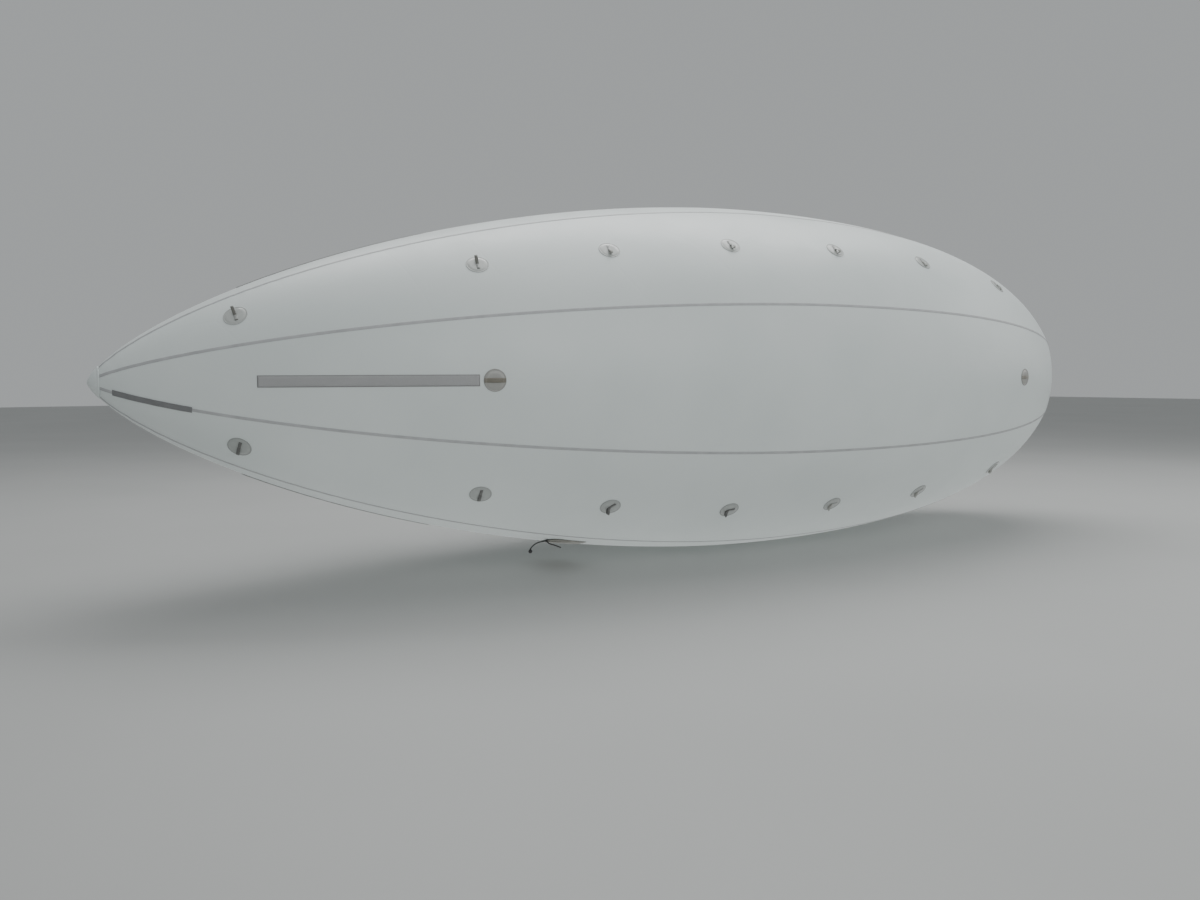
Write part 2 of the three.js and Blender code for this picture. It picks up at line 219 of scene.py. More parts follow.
@dataclass
class Envelope:
    """The outer skin: its profile, its flat-sided gores and the small puckers along its seams."""

    max_radius: float = 1.158
    nose: Half = Half(2.940, 2.2, 0.40)
    tail: Half = Half(4.060, 1.86, 0.71)
    tip_radius: float = 0.030
    gores: int = 8
    crest_middle: float = 0.003
    crest_ends: float = 0.016
    pucker_reach: float = 0.050
    pucker_middle: float = 0.00035
    pucker_ends: float = 0.0011
    ripples: tuple[Ripple, ...] = (Ripple(0.6, 54.6, 1.7), Ripple(0.4, 88.5, 2.3))
    swell: Ripple = Ripple(0.4, 6.9, 1.0)
    nearest_tip: float = 1e-6
    on_axis: float = 1e-5
    arc_steps: int = 900
    stations: list[float] = field(default_factory=list, repr=False)
    arcs: list[float] = field(default_factory=list, repr=False)

    def __post_init__(self) -> None:
        """Measures the distance along the profile at a row of stations."""
        half = self.arc_steps // 2
        turns = [math.pi / 2 * (k / half - 1) for k in range(self.arc_steps + 1)]
        self.stations = [self.half(t).length * math.sin(t) for t in turns]
        reach = 0.0
        self.arcs = [reach]
        for low, high in zip(self.stations, self.stations[1:]):
            reach += math.hypot(high - low, self.radius(high) - self.radius(low))
            self.arcs.append(reach)

    @property
    def gore_angle(self) -> float:
        """The angle that one gore takes round the axis."""
        return 360 / self.gores

    def half(self, x: float) -> Half:
        """The half of the profile that a station lies in."""
        return self.nose if x >= 0 else self.tail

    def radius(self, x: float) -> float:
        """Works out the envelope's radius.

        Args:
            x: Station along the axis.

        Returns:
            The skin's distance from the axis.
        """
        half = self.half(x)
        share = min(1.0, abs(x) / half.length)
        return self.max_radius * (1 - share**half.power) ** half.bluntness

    def slope(self, x: float) -> float:
        """Works out how fast the radius changes.

        Args:
            x: Station along the axis.

        Returns:
            The change of the radius along X.
        """
        half = self.half(x)
        share = min(1 - self.nearest_tip, abs(x) / half.length)
        change = self.max_radius * half.bluntness * half.power / half.length
        bend = share ** (half.power - 1) * (1 - share**half.power) ** (half.bluntness - 1)
        return -math.copysign(change * bend, x)

    def station(self, radius: float, half: Half) -> float:
        """The distance from the widest section to where a half has a radius."""
        share = 1 - (radius / self.max_radius) ** (1 / half.bluntness)
        return half.length * share ** (1 / half.power)

    def arc(self, x: float) -> float:
        """Measures along the profile.

        Args:
            x: Station along the axis.

        Returns:
            The distance from the tail tip to the station.
        """
        index = min(len(self.stations) - 2, max(0, bisect_right(self.stations, x) - 1))
        low, high = self.stations[index], self.stations[index + 1]
        share = (x - low) / (high - low)
        return self.arcs[index] + share * (self.arcs[index + 1] - self.arcs[index])

    def pucker(self, x: float, angle: float, seam_share: float) -> float:
        """The height of the small ripples that the weld draws into the film.

        Args:
            x: Station along the axis.
            angle: Angle round the axis.
            seam_share: 0 at the middle of a gore, 1 at its seams.

        Returns:
            The height, which fades away from the seam.
        """
        seam = math.floor(angle / self.gore_angle)
        distance = (1 - abs(seam_share)) * self.radius(x) * math.radians(self.gore_angle / 2)
        share = abs(x) / self.half(x).length
        height = self.pucker_middle + (self.pucker_ends - self.pucker_middle) * share**3
        reach = self.arc(x)
        wave = sum(ripple.height(reach, seam) for ripple in self.ripples)
        slow = 1 - self.swell.share + self.swell.height(reach, seam)
        return height * wave * slow * math.exp(-((distance / self.pucker_reach) ** 2))

    def skin(self, x: float, angle: float, lift: float = 0.0) -> Vector:
        """A point over the skin.

        Args:
            x: Station along the axis.
            angle: Angle round the axis.
            lift: Distance out from the skin.

        Returns:
            The point in the part's frame.
        """
        seam_share = (angle / self.gore_angle - round(angle / self.gore_angle)) * 2
        share = abs(x) / self.half(x).length
        crest = self.crest_middle + (self.crest_ends - self.crest_middle) * share**4
        radius = self.radius(x) * (1 + crest * seam_share**2)
        slope = self.slope(x)
        height = (lift + self.pucker(x, angle, seam_share)) / math.hypot(1, slope)
        turn = math.radians(angle)
        out = radius + height
        return Vector((x - height * slope, -out * math.cos(turn), out * math.sin(turn)))

    def beside(self, x: float, angle: float, across: float, lift: float) -> Vector:
        """A point over the skin at a distance round it from a line of constant angle."""
        return self.skin(x, angle + math.degrees(across / self.radius(x)), lift)

    def cap(self, towards: int, radius: float, angle: float, lift: float) -> Vector:
        """A point over one of the tips, given by its distance from the axis.

        Args:
            towards: 1 at the nose and -1 at the tail.
            radius: Distance from the axis.
            angle: Angle round the axis.
            lift: Distance out from the skin.

        Returns:
            The point in the part's frame.
        """
        half = self.nose if towards > 0 else self.tail
        if radius < self.on_axis:
            return Vector((towards * (half.length + lift), 0, 0))
        return self.skin(towards * self.station(radius, half), angle, lift)


@dataclass(frozen=True)
class Place:
    """A place on the skin, at which a flat form is laid."""

    envelope: Envelope
    x: float
    angle: float
    probe: float = 0.01

    @property
    def upwards(self) -> int:
        """1 where growing angles lead up the skin, and -1 where they lead down."""
        return 1 if math.cos(math.radians(self.angle)) > 0 else -1

    def lay(self, along: float, up: float, lift: float) -> Vector:
        """Lays a point on the skin.

        Args:
            along: Distance towards the nose.
            up: Distance up the skin.
            lift: Distance out from the skin.

        Returns:
            The point in the part's frame.
        """
        x = self.x + along / math.hypot(1, self.envelope.slope(self.x))
        return self.envelope.beside(x, self.angle, up * self.upwards, lift)

    def outwards(self) -> Vector:
        """The direction straight out of the skin."""
        return (self.lay(0, 0, self.probe) - self.lay(0, 0, 0)).normalized()

    def ahead(self) -> Vector:
        """The direction along the skin towards the nose."""
        return (self.lay(self.probe, 0, 0) - self.lay(-self.probe, 0, 0)).normalized()

    def uphill(self) -> Vector:
        """The direction up the skin."""
        return (self.lay(0, self.probe, 0) - self.lay(0, -self.probe, 0)).normalized()


# Forms


def grid_form(
    rows: int,
    columns: int,
    place: Callable[[int, int], Vector],
    unrolled: Callable[[int, int], Corner],
) -> BMesh:
    """Makes a sheet from a grid whose points are put in place one by one.

    Args:
        rows: Number of faces along the sheet.
        columns: Number of faces across it.
        place: Gives the point of a row and column.
        unrolled: Gives its place in metres on the flat sheet, for the UV map.

    Returns:
        The sheet, with a UV map and smooth faces.
    """
    bm = bmesh.new()
    uv_map = bm.loops.layers.uv.new("UVMap")
    bmesh.ops.create_grid(bm, x_segments=rows, y_segments=columns, size=0.5)
    index = {v: (round((v.co.x + 0.5) * rows), round((v.co.y + 0.5) * columns)) for v in bm.verts}
    for face in bm.faces:
        face.smooth = True
        for loop in face.loops:
            loop[uv_map].uv = unrolled(*index[loop.vert])
    for vert, (row, column) in index.items():
        vert.co = place(row, column)
    return bm


def tube_form(
    rows: int,
    section: Sequence[Corner],
    place: Callable[[int, Corner], Vector],
    reach: Callable[[int], float],
) -> BMesh:
    """Makes a closed bar from a section that is carried along it.

    Args:
        rows: Number of faces along the bar.
        section: Corners of the section, in order.
        place: Gives the point of a row and a corner.
        reach: Gives a row's distance along the bar, for the UV map.

    Returns:
        The bar, closed at both ends unless its ends meet.
    """
    ring = [*section, section[0]]
    rim = [0.0]
    for (a, b), (c, d) in zip(ring, ring[1:]):
        rim.append(rim[-1] + math.hypot(c - a, d - b))
    bm = grid_form(
        rows,
        len(section),
        lambda row, column: place(row, ring[column]),
        lambda row, column: (reach(row), rim[column]),
    )
    bmesh.ops.remove_doubles(bm, verts=bm.verts, dist=MERGE)
    ends = [edge for edge in bm.edges if edge.is_boundary]
    if ends:
        bmesh.ops.holes_fill(bm, edges=ends, sides=0)
    bmesh.ops.recalc_face_normals(bm, faces=bm.faces)
    return bm


def turned_form(profile: Sequence[Corner], sides: int) -> BMesh:
    """Turns a profile round Z.

    Args:
        profile: Points as (distance from Z, height), from the axis back to the axis or as a ring.
        sides: Number of faces round Z.

    Returns:
        The closed form, with its plan in metres as its UV map.
    """
    bm = bmesh.new()
    uv_map = bm.loops.layers.uv.new("UVMap")
    points = [bm.verts.new((out, 0, height)) for out, height in profile]
    lines = [bm.edges.new(pair) for pair in zip(points, points[1:])]
    bmesh.ops.spin(
        bm,
        geom=[*points, *lines],
        cent=(0, 0, 0),
        axis=(0, 0, 1),
        dvec=(0, 0, 0),
        angle=2 * math.pi,
        steps=sides,
        use_merge=True,
        use_duplicate=False,
    )
    bmesh.ops.remove_doubles(bm, verts=bm.verts, dist=MERGE)
    bmesh.ops.recalc_face_normals(bm, faces=bm.faces)
    for face in bm.faces:
        face.smooth = True
        for loop in face.loops:
            loop[uv_map].uv = loop.vert.co.xy
    return bm


def flat_bar(width: float, thickness: float, edge: float, cells: int = 2) -> list[Corner]:
    """The section of a flat bar with eased corners, lying on zero.

    Args:
        width: Width of the bar.
        thickness: Its height over zero.
        edge: How far its corners are eased.
        cells: Number of faces across its top and bottom.

    Returns:
        Corners as (across, lift), in order.
    """
    half = width / 2
    spots = [half * (2 * k / cells - 1) for k in range(1, cells)]
    top = [(-half + edge, thickness), *[(s, thickness) for s in spots], (half - edge, thickness)]
    bottom = [(half - edge, 0.0), *[(-s, 0.0) for s in spots], (-half + edge, 0.0)]
    return [(-half, edge), (-half, thickness - edge), *top, (half, thickness - edge), (half, edge), *bottom]


def smooth_path(points: Sequence[Vector], cuts: int) -> list[Vector]:
    """Leads a smooth line through points.

    Args:
        points: The points.
        cuts: Number of steps between each two.

    Returns:
        The line's points.
    """
    line = []
    for k in range(len(points) - 1):
        before, a = points[max(0, k - 1)], points[k]
        b, after = points[k + 1], points[min(len(points) - 1, k + 2)]
        for step in range(cuts):
            t = step / cuts
            line.append(
                0.5 * (2 * a + (b - before) * t + (2 * before - 5 * a + 4 * b - after) * t**2)
                + 0.5 * (3 * a - before - 3 * b + after) * t**3
            )
    return [*line, points[-1].copy()]


def distances(line: Sequence[Vector]) -> list[float]:
    """Measures along a line.

    Args:
        line: The line's points.

    Returns:
        The distance from the first point to each of them.
    """
    reach = [0.0]
    for a, b in zip(line, line[1:]):
        reach.append(reach[-1] + (b - a).length)
    return reach


def carried_form(
    line: Sequence[Vector],
    wide: Sequence[Vector],
    section: Sequence[Corner],
    from_ends: bool = False,
) -> BMesh:
    """Carries a section along a line.

    Args:
        line: The line's points.
        wide: At each point, the direction in which the section's width lies.
        section: Corners as (across, lift).
        from_ends: Whether the UV map's length counts from the nearer end.

    Returns:
        The closed bar.
    """
    last = len(line) - 1
    reach = distances(line)
    if from_ends:
        reach = [min(r, reach[-1] - r) for r in reach]
    frames = []
    for k, point in enumerate(line):
        course = line[min(last, k + 1)] - line[max(0, k - 1)]
        if (line[0] - line[last]).length < MERGE and k in (0, last):
            course = line[1] - line[last - 1]
        across = (wide[k] - wide[k].project(course)).normalized()
        frames.append((point, across, course.cross(across).normalized()))

    def place(row: int, corner: Corner) -> Vector:
        """The point of a corner in a row."""
        point, across, lift = frames[row]
        return point + across * corner[0] + lift * corner[1]

    return tube_form(last, section, place, lambda row: reach[row])


def round_section(radius: float, sides: int) -> list[Corner]:
    """The corners of a round section."""
    turns = [2 * math.pi * k / sides for k in range(sides)]
    return [(radius * math.cos(t), radius * math.sin(t)) for t in turns]


# Materials


class Source(Enum):
    """What a pattern follows."""

    BODY = "Object"
    SURFACE = "UV"


@dataclass(frozen=True)
class Stuff:
    """A finished material and the slot of the record that it answers to."""

    material: Material
    slot: str


@dataclass(frozen=True)
class Clouds:
    """A cloudy pattern: repeats in a metre, detail, the part of its range that shows, and grit."""

    scale: float
    detail: float
    low: float
    high: float
    grit: float = 0.5


@dataclass(frozen=True)
class Relief:
    """An uneven surface: its repeats in a metre and its height in metres."""

    scale: float
    height: float


class Graph:
    """A material's nodes, with short ways to add and join them."""

    def __init__(self, name: str, **shader: float | tuple[float, ...]) -> None:
        """Starts a material.

        Args:
            name: The material's name.
            shader: Values for the shader's own sockets, with underscores for spaces.
        """
        self.material = bpy.data.materials.new(name)
        self.material.use_nodes = True
        self.tree = self.material.node_tree
        self.shader = next(n for n in self.tree.nodes if n.type == "BSDF_PRINCIPLED")
        for socket, value in shader.items():
            self.shader.inputs[socket.replace("_", " ")].default_value = value

    def add(self, kind: str, inputs: dict[str | int, object] | None = None, **settings: object) -> Node:
        """Adds a node.

        Args:
            kind: The node's type, without its common start.
            inputs: Values or sockets for its inputs.
            settings: The node's own settings.

        Returns:
            The node.
        """
        node = self.tree.nodes.new("ShaderNode" + kind)
        for key, value in settings.items():
            setattr(node, key, value)
        for key, value in (inputs or {}).items():
            if isinstance(value, NodeSocket):
                self.tree.links.new(value, node.inputs[key])
            else:
                node.inputs[key].default_value = value
        return node

    def spot(self, source: Source, stretch: Point = (1, 1, 1)) -> NodeSocket:
        """The coordinates that a pattern follows, stretched."""
        where = self.add("TexCoord").outputs[source.value]
        return self.add("Mapping", {"Vector": where, "Scale": stretch}).outputs[0]

    def noise(self, where: NodeSocket, scale: float, detail: float = 2, grit: float = 0.5) -> NodeSocket:
        """A cloudy pattern from 0 to 1."""
        inputs = {"Vector": where, "Scale": scale, "Detail": detail, "Roughness": grit}
        return self.add("TexNoise", inputs).outputs[0]

    def sum(self, operation: str, *values: NodeSocket | float) -> NodeSocket:
        """The result of a sum on one, two or three values."""
        return self.add("Math", dict(enumerate(values)), operation=operation).outputs[0]

    def range(self, value: NodeSocket, low: float, high: float, start: float, end: float) -> NodeSocket:
        """A value moved from one range to another, and held inside it."""
        return self.add("MapRange", {0: value, 1: low, 2: high, 3: start, 4: end}).outputs[0]

    def mix(self, share: NodeSocket, first: object, second: object) -> NodeSocket:
        """A colour between two others."""
        return self.add("Mix", {0: share, 6: first, 7: second}, data_type="RGBA").outputs[2]

    def parts(self, where: NodeSocket) -> tuple[NodeSocket, NodeSocket]:
        """The first two parts of a set of coordinates."""
        outputs = self.add("SeparateXYZ", {0: where}).outputs
        return outputs[0], outputs[1]

    def clouds(self, where: NodeSocket, look: Clouds, start: float = 0, end: float = 1) -> NodeSocket:
        """A cloudy pattern held between two values."""
        pattern = self.noise(where, look.scale, look.detail, look.grit)
        return self.range(pattern, look.low, look.high, start, end)

    def creases(self, where: NodeSocket, scale: float, width: float) -> NodeSocket:
        """Sharp lines: 0 on a line, and 1 from a width away from it."""
        cells = self.add("TexVoronoi", {"Vector": where, "Scale": scale}, feature="DISTANCE_TO_EDGE")
        return self.range(cells.outputs[0], 0, width, 0, 1)

    def waves(self, value: NodeSocket, length: float) -> NodeSocket:
        """A wave from -1 to 1 that repeats after a length."""
        return self.sum("SINE", self.sum("MULTIPLY", value, 2 * math.pi / length))

    def crossed(self, first: NodeSocket, second: NodeSocket) -> NodeSocket:
        """Two crossing waves as a pattern from 0 to 1."""
        return self.sum("MULTIPLY_ADD", self.sum("MULTIPLY", first, second), 0.5, 0.5)

    def weave(self, where: NodeSocket, along: float, across: float) -> NodeSocket:
        """The height of a plain weave, from 0 to 1, with the length of its two repeats in metres."""
        u, v = self.parts(where)
        return self.crossed(self.waves(u, along), self.waves(v, across))

    def blend(self, first: NodeSocket, share: float, second: NodeSocket) -> NodeSocket:
        """Two patterns added, the first by a share and the second by the rest."""
        return self.sum("MULTIPLY_ADD", first, share, self.sum("MULTIPLY", second, 1 - share))

    def between(self, value: NodeSocket, start: float, end: float, fade: float) -> NodeSocket:
        """Finds where a value lies between two others.

        Args:
            value: The value.
            start: Where the span starts.
            end: Where it ends.
            fade: How far the result fades beyond both.

        Returns:
            1 in the span and 0 outside it.
        """
        rises = self.range(value, start - fade, start, 0, 1)
        falls = self.range(value, end, end + fade, 1, 0)
        return self.sum("MULTIPLY", rises, falls)

    def raise_by(self, height: NodeSocket, distance: float, below: NodeSocket | None = None) -> NodeSocket:
        """Bumps the surface.

        Args:
            height: The pattern that bumps it.
            distance: The height in metres where the pattern is 1.
            below: The surface direction that it is laid on.

        Returns:
            The bumped surface direction.
        """
        inputs = {"Height": height, "Distance": distance, "Strength": 1.0}
        if below is not None:
            inputs["Normal"] = below
        return self.add("Bump", inputs).outputs[0]

    def uneven(self, where: NodeSocket, look: Relief, below: NodeSocket | None = None) -> NodeSocket:
        """A surface direction made uneven, on top of another one where it is given."""
        return self.raise_by(self.noise(where, look.scale), look.height, below)

    def finish(self, slot: str, **sockets: NodeSocket) -> Stuff:
        """Joins sockets to the shader.

        Args:
            slot: The record's slot.
            sockets: What goes into the shader's inputs, with underscores for spaces.

        Returns:
            The finished stuff.
        """
        for name, socket in sockets.items():
            self.tree.links.new(socket, self.shader.inputs[name.replace("_", " ")])
        return Stuff(self.material, slot)


def grey(value: float, warm: float = 0.0) -> Colour:
    """A near-neutral colour, warmer or cooler by a share."""
    return (value * (1 + warm), value, value * (1 - warm), 1.0)


def shaded(colour: Colour, factor: float) -> Colour:
    """A colour made darker or paler by a factor."""
    return (*(min(1.0, part * factor) for part in colour[:3]), 1.0)


@dataclass(frozen=True)
class FilmFinish:
    """Satin white balloon film: calendered grain, soft slack and faint fold lines."""

    name: str = "satin_film"
    slot: str = "film"
    colour: Colour = (0.765, 0.82, 0.81, 1.0)
    cloud: Colour = (0.715, 0.775, 0.765, 1.0)
    clouding: Clouds = Clouds(1.4, 4, 0.35, 0.7)
    scuffs: Clouds = Clouds(3.0, 6, 0.56, 0.75, 0.65)
    scuff_stretch: Point = (1, 6, 6)
    scuff_roughness: float = 0.08
    gloss: Clouds = Clouds(5.0, 5, 0.3, 0.7)
    rough_low: float = 0.34
    rough_high: float = 0.44
    slack: Relief = Relief(2.2, 0.0016)
    fold_scale: float = 1.3
    fold_width: float = 0.012
    fold_height: float = 0.0002
    grain: Relief = Relief(700.0, 0.00003)

    def make(self) -> Stuff:
        """Makes the film.

        Returns:
            The finished film.
        """
        graph = Graph(self.name, Specular_IOR_Level=0.5)
        where = graph.spot(Source.BODY)
        scuffs = graph.clouds(graph.spot(Source.BODY, self.scuff_stretch), self.scuffs)
        rough = graph.clouds(where, self.gloss, self.rough_low, self.rough_high)
        folds = graph.creases(where, self.fold_scale, self.fold_width)
        folded = graph.raise_by(folds, self.fold_height, graph.uneven(where, self.slack))
        return graph.finish(
            self.slot,
            Base_Color=graph.mix(graph.clouds(where, self.clouding), self.colour, self.cloud),
            Roughness=graph.sum("MULTIPLY_ADD", scuffs, self.scuff_roughness, rough),
            Normal=graph.uneven(where, self.grain, folded),
        )


@dataclass(frozen=True)
class TapeFinish:
    """Grey welded tape with the fine cross ribs of the welding wheel."""

    name: str
    colour: Colour
    slot: str = "seam_tape"
    clouding: Clouds = Clouds(14.0, 4, 0.35, 0.7)
    cloud_shade: float = 0.84
    slack: Relief = Relief(30.0, 0.0004)
    rib: float = 0.0025
    rib_height: float = 0.00008

    def make(self) -> Stuff:
        """Makes the tape.

        Returns:
            The finished tape.
        """
        graph = Graph(self.name, Roughness=0.5)
        where = graph.spot(Source.SURFACE)
        ribs = graph.weave(where, self.rib, 2 * self.rib)
        dark = shaded(self.colour, self.cloud_shade)
        return graph.finish(
            self.slot,
            Base_Color=graph.mix(graph.clouds(where, self.clouding), self.colour, dark),
            Normal=graph.raise_by(ribs, self.rib_height, graph.uneven(where, self.slack)),
        )


@dataclass(frozen=True)
class PatchFinish:
    """Grey coated fabric with its scrim showing through, darker in the welded rim."""

    name: str
    rim: float
    colour: Colour = (0.415, 0.435, 0.42, 1.0)
    rim_shade: float = 0.87
    rim_fade: float = 0.0012
    mottle: Clouds = Clouds(40.0, 5, 0.3, 0.75)
    mottle_shade: float = 1.09
    slack: Relief = Relief(22.0, 0.0007)
    scrim: float = 0.0018
    scrim_height: float = 0.00009
    slot: str = "patch"

    def make(self) -> Stuff:
        """Makes the patch.

        Returns:
            The finished patch.
        """
        graph = Graph(self.name, Roughness=0.52, Coat_Weight=0.9, Coat_Roughness=0.16)
        where = graph.spot(Source.SURFACE)
        out = graph.add("VectorMath", {0: where}, operation="LENGTH").outputs["Value"]
        rim = graph.range(out, self.rim - self.rim_fade, self.rim, 0, 1)
        pale = shaded(self.colour, self.mottle_shade)
        cloth = graph.mix(graph.clouds(where, self.mottle), self.colour, pale)
        scrim = graph.weave(where, self.scrim, self.scrim)
        return graph.finish(
            self.slot,
            Base_Color=graph.mix(rim, cloth, shaded(self.colour, self.rim_shade)),
            Normal=graph.raise_by(scrim, self.scrim_height, graph.uneven(where, self.slack)),
        )


@dataclass(frozen=True)
class WebbingFinish:
    """Woven webbing with a selvedge along one edge, bar tacks, and ends that may lie under film."""

    name: str
    slot: str
    colour: Colour
    selvedge: Colour
    thread: Colour
    rim_from: float = 0.030
    rim_to: float = 0.031
    rim_fade: float = 0.0006
    tacks: tuple[float, ...] = (0.004, 0.034)
    tack_reach: float = 0.0013
    tack_height: float = 1.4
    zigzag: float = 0.0022
    covered_from: float = 0.0
    covered_to: float = 0.0
    cover_fade: float = 0.0015
    cover: Colour = (0.37, 0.385, 0.37, 1.0)
    pick: float = 0.0021
    pick_across: float = 0.00273
    weave_shade: float = 0.55
    weave_height: float = 0.0003
    fuzz_scale: float = 900.0
    fuzz_detail: float = 3
    fuzz_share: float = 0.4
    fuzz_height: float = 0.0001

    def make(self) -> Stuff:
        """Makes the webbing.

        Returns:
            The finished webbing.
        """
        graph = Graph(self.name, Roughness=0.5, Coat_Weight=0.5, Coat_Roughness=0.3, Sheen_Weight=0.25)
        where = graph.spot(Source.SURFACE)
        along, round_it = graph.parts(where)
        height = graph.weave(where, self.pick, self.pick_across)
        fuzz = graph.noise(where, self.fuzz_scale, self.fuzz_detail)
        shade = graph.blend(fuzz, self.fuzz_share, height)
        colour = graph.mix(shade, shaded(self.colour, self.weave_shade), self.colour)
        rim = graph.between(round_it, self.rim_from, self.rim_to, self.rim_fade)
        colour = graph.mix(rim, colour, self.selvedge)
        zigzag = graph.sum("ABSOLUTE", graph.waves(round_it, self.zigzag))
        for tack in self.tacks:
            thread = graph.sum("MULTIPLY", graph.sum("COMPARE", along, tack, self.tack_reach), zigzag)
            colour = graph.mix(thread, colour, self.thread)
            height = graph.sum("MULTIPLY_ADD", thread, self.tack_height, height)
        if self.covered_to > self.covered_from:
            covered = graph.between(along, self.covered_from, self.covered_to, self.cover_fade)
            colour = graph.mix(covered, colour, self.cover)
        fuzzy = graph.raise_by(fuzz, self.fuzz_height)
        return graph.finish(
            self.slot, Base_Color=colour, Normal=graph.raise_by(height, self.weave_height, fuzzy)
        )


@dataclass(frozen=True)
class HookFinish:
    """Hook-and-loop strip: a field of fuzzy hooks, worn paler in places."""

    name: str
    slot: str
    colour: Colour
    between_hooks: Colour
    pitch: float = 0.0016
    pitch_across: float = 0.00192
    fuzz_scale: float = 1100.0
    fuzz_detail: float = 4
    fuzz_share: float = 0.6
    pile_low: float = 0.25
    pile_high: float = 0.75
    pile_height: float = 0.0006
    wear: Clouds = Clouds(9.0, 5, 0.35, 0.7, 0.6)
    wear_stretch: Point = (1, 3, 1)
    wear_shade: float = 1.12

    def make(self) -> Stuff:
        """Makes the strip.

        Returns:
            The finished strip.
        """
        graph = Graph(self.name, Roughness=0.85, Sheen_Weight=0.4, Sheen_Roughness=0.5)
        where = graph.spot(Source.SURFACE)
        hooks = graph.weave(where, self.pitch, self.pitch_across)
        fuzz = graph.noise(where, self.fuzz_scale, self.fuzz_detail)
        pile = graph.blend(fuzz, self.fuzz_share, hooks)
        shown = graph.range(pile, self.pile_low, self.pile_high, 0, 1)
        wear = graph.clouds(graph.spot(Source.SURFACE, self.wear_stretch), self.wear)
        worn = graph.mix(wear, self.colour, shaded(self.colour, self.wear_shade))
        colour = graph.mix(shown, self.between_hooks, worn)
        return graph.finish(self.slot, Base_Color=colour, Normal=graph.raise_by(pile, self.pile_height))


@dataclass(frozen=True)
class SewnTapeFinish:
    """The flat tape under a fin seat, with a row of stitches near each edge."""

    name: str
    slot: str
    colour: Colour
    thread: Colour
    rows: tuple[float, ...]
    stitch: float = 0.0046
    stitch_low: float = -0.5
    stitch_high: float = -0.2
    thread_reach: float = 0.0005
    pick: float = 0.0012
    weave_shade: float = 0.7
    weave_share: float = 0.3
    height: float = 0.0003

    def make(self) -> Stuff:
        """Makes the tape.

        Returns:
            The finished tape.
        """
        graph = Graph(self.name, Roughness=0.7, Sheen_Weight=0.2)
        where = graph.spot(Source.SURFACE)
        along, round_it = graph.parts(where)
        weave = graph.weave(where, self.pick, self.pick)
        colour = graph.mix(weave, shaded(self.colour, self.weave_shade), self.colour)
        height = graph.sum("MULTIPLY", weave, self.weave_share)
        dash = graph.range(graph.waves(along, self.stitch), self.stitch_low, self.stitch_high, 0, 1)
        for row in self.rows:
            thread = graph.sum("MULTIPLY", graph.sum("COMPARE", round_it, row, self.thread_reach), dash)
            colour = graph.mix(thread, colour, self.thread)
            height = graph.sum("ADD", height, thread)
        return graph.finish(self.slot, Base_Color=colour, Normal=graph.raise_by(height, self.height))


@dataclass(frozen=True)
class SleeveFinish:
    """Thin grey film, crinkled where it is gathered, with painted shade in the hollows of the gathers."""

    name: str = "sleeve_film"
    slot: str = "sleeve"
    colour: Colour = (0.285, 0.281, 0.250, 1.0)
    gathers: Clouds = Clouds(26.0, 4, 0.35, 0.65, 0.55)
    gather_stretch: Point = (1, 0.35, 1)
    # Painted shade: the film is darker by this factor in the hollows of the gathers
    painted_gather_shade: float = 0.72
    gather_height: float = 0.0010
    crease_scale: float = 22.0
    crease_width: float = 0.12
    crease_height: float = 0.0005

    def make(self) -> Stuff:
        """Makes the film.

        Returns:
            The finished film.
        """
        graph = Graph(self.name, Roughness=0.36, Specular_IOR_Level=0.55)
        look = self.gathers
        drawn = graph.spot(Source.BODY, self.gather_stretch)
        gathers = graph.noise(drawn, look.scale, look.detail, look.grit)
        shade = graph.range(gathers, look.low, look.high, 0, 1)
        creases = graph.creases(graph.spot(Source.BODY), self.crease_scale, self.crease_width)
        gathered = graph.raise_by(gathers, self.gather_height)
        return graph.finish(
            self.slot,
            Base_Color=graph.mix(shade, shaded(self.colour, self.painted_gather_shade), self.colour),
            Normal=graph.raise_by(creases, self.crease_height, gathered),
        )


@dataclass(frozen=True)
class BraidFinish:
    """Black elastic cord with a diamond braid."""

    name: str = "braided_cord"
    slot: str = "cord"
    colour: Colour = (0.022, 0.022, 0.022, 1.0)
    strand: Colour = (0.004, 0.004, 0.004, 1.0)
    pitch: float = 0.0050
    pitch_round: float = 0.00314
    height: float = 0.0005
    fuzz_scale: float = 1500.0
    fuzz_share: float = 0.25

    def make(self) -> Stuff:
        """Makes the braid.

        Returns:
            The finished braid.
        """
        graph = Graph(self.name, Roughness=0.6, Sheen_Weight=0.3)
        where = graph.spot(Source.SURFACE)
        along, round_it = graph.parts(where)
        course = graph.sum("MULTIPLY", along, 2 * math.pi / self.pitch)
        turn = graph.sum("MULTIPLY", round_it, 2 * math.pi / self.pitch_round)
        one, other = (graph.sum("SINE", graph.sum(way, course, turn)) for way in ("ADD", "SUBTRACT"))
        braid = graph.crossed(one, other)
        height = graph.sum("MULTIPLY_ADD", graph.noise(where, self.fuzz_scale), self.fuzz_share, braid)
        return graph.finish(
            self.slot,
            Base_Color=graph.mix(braid, self.strand, self.colour),
            Normal=graph.raise_by(height, self.height),
        )


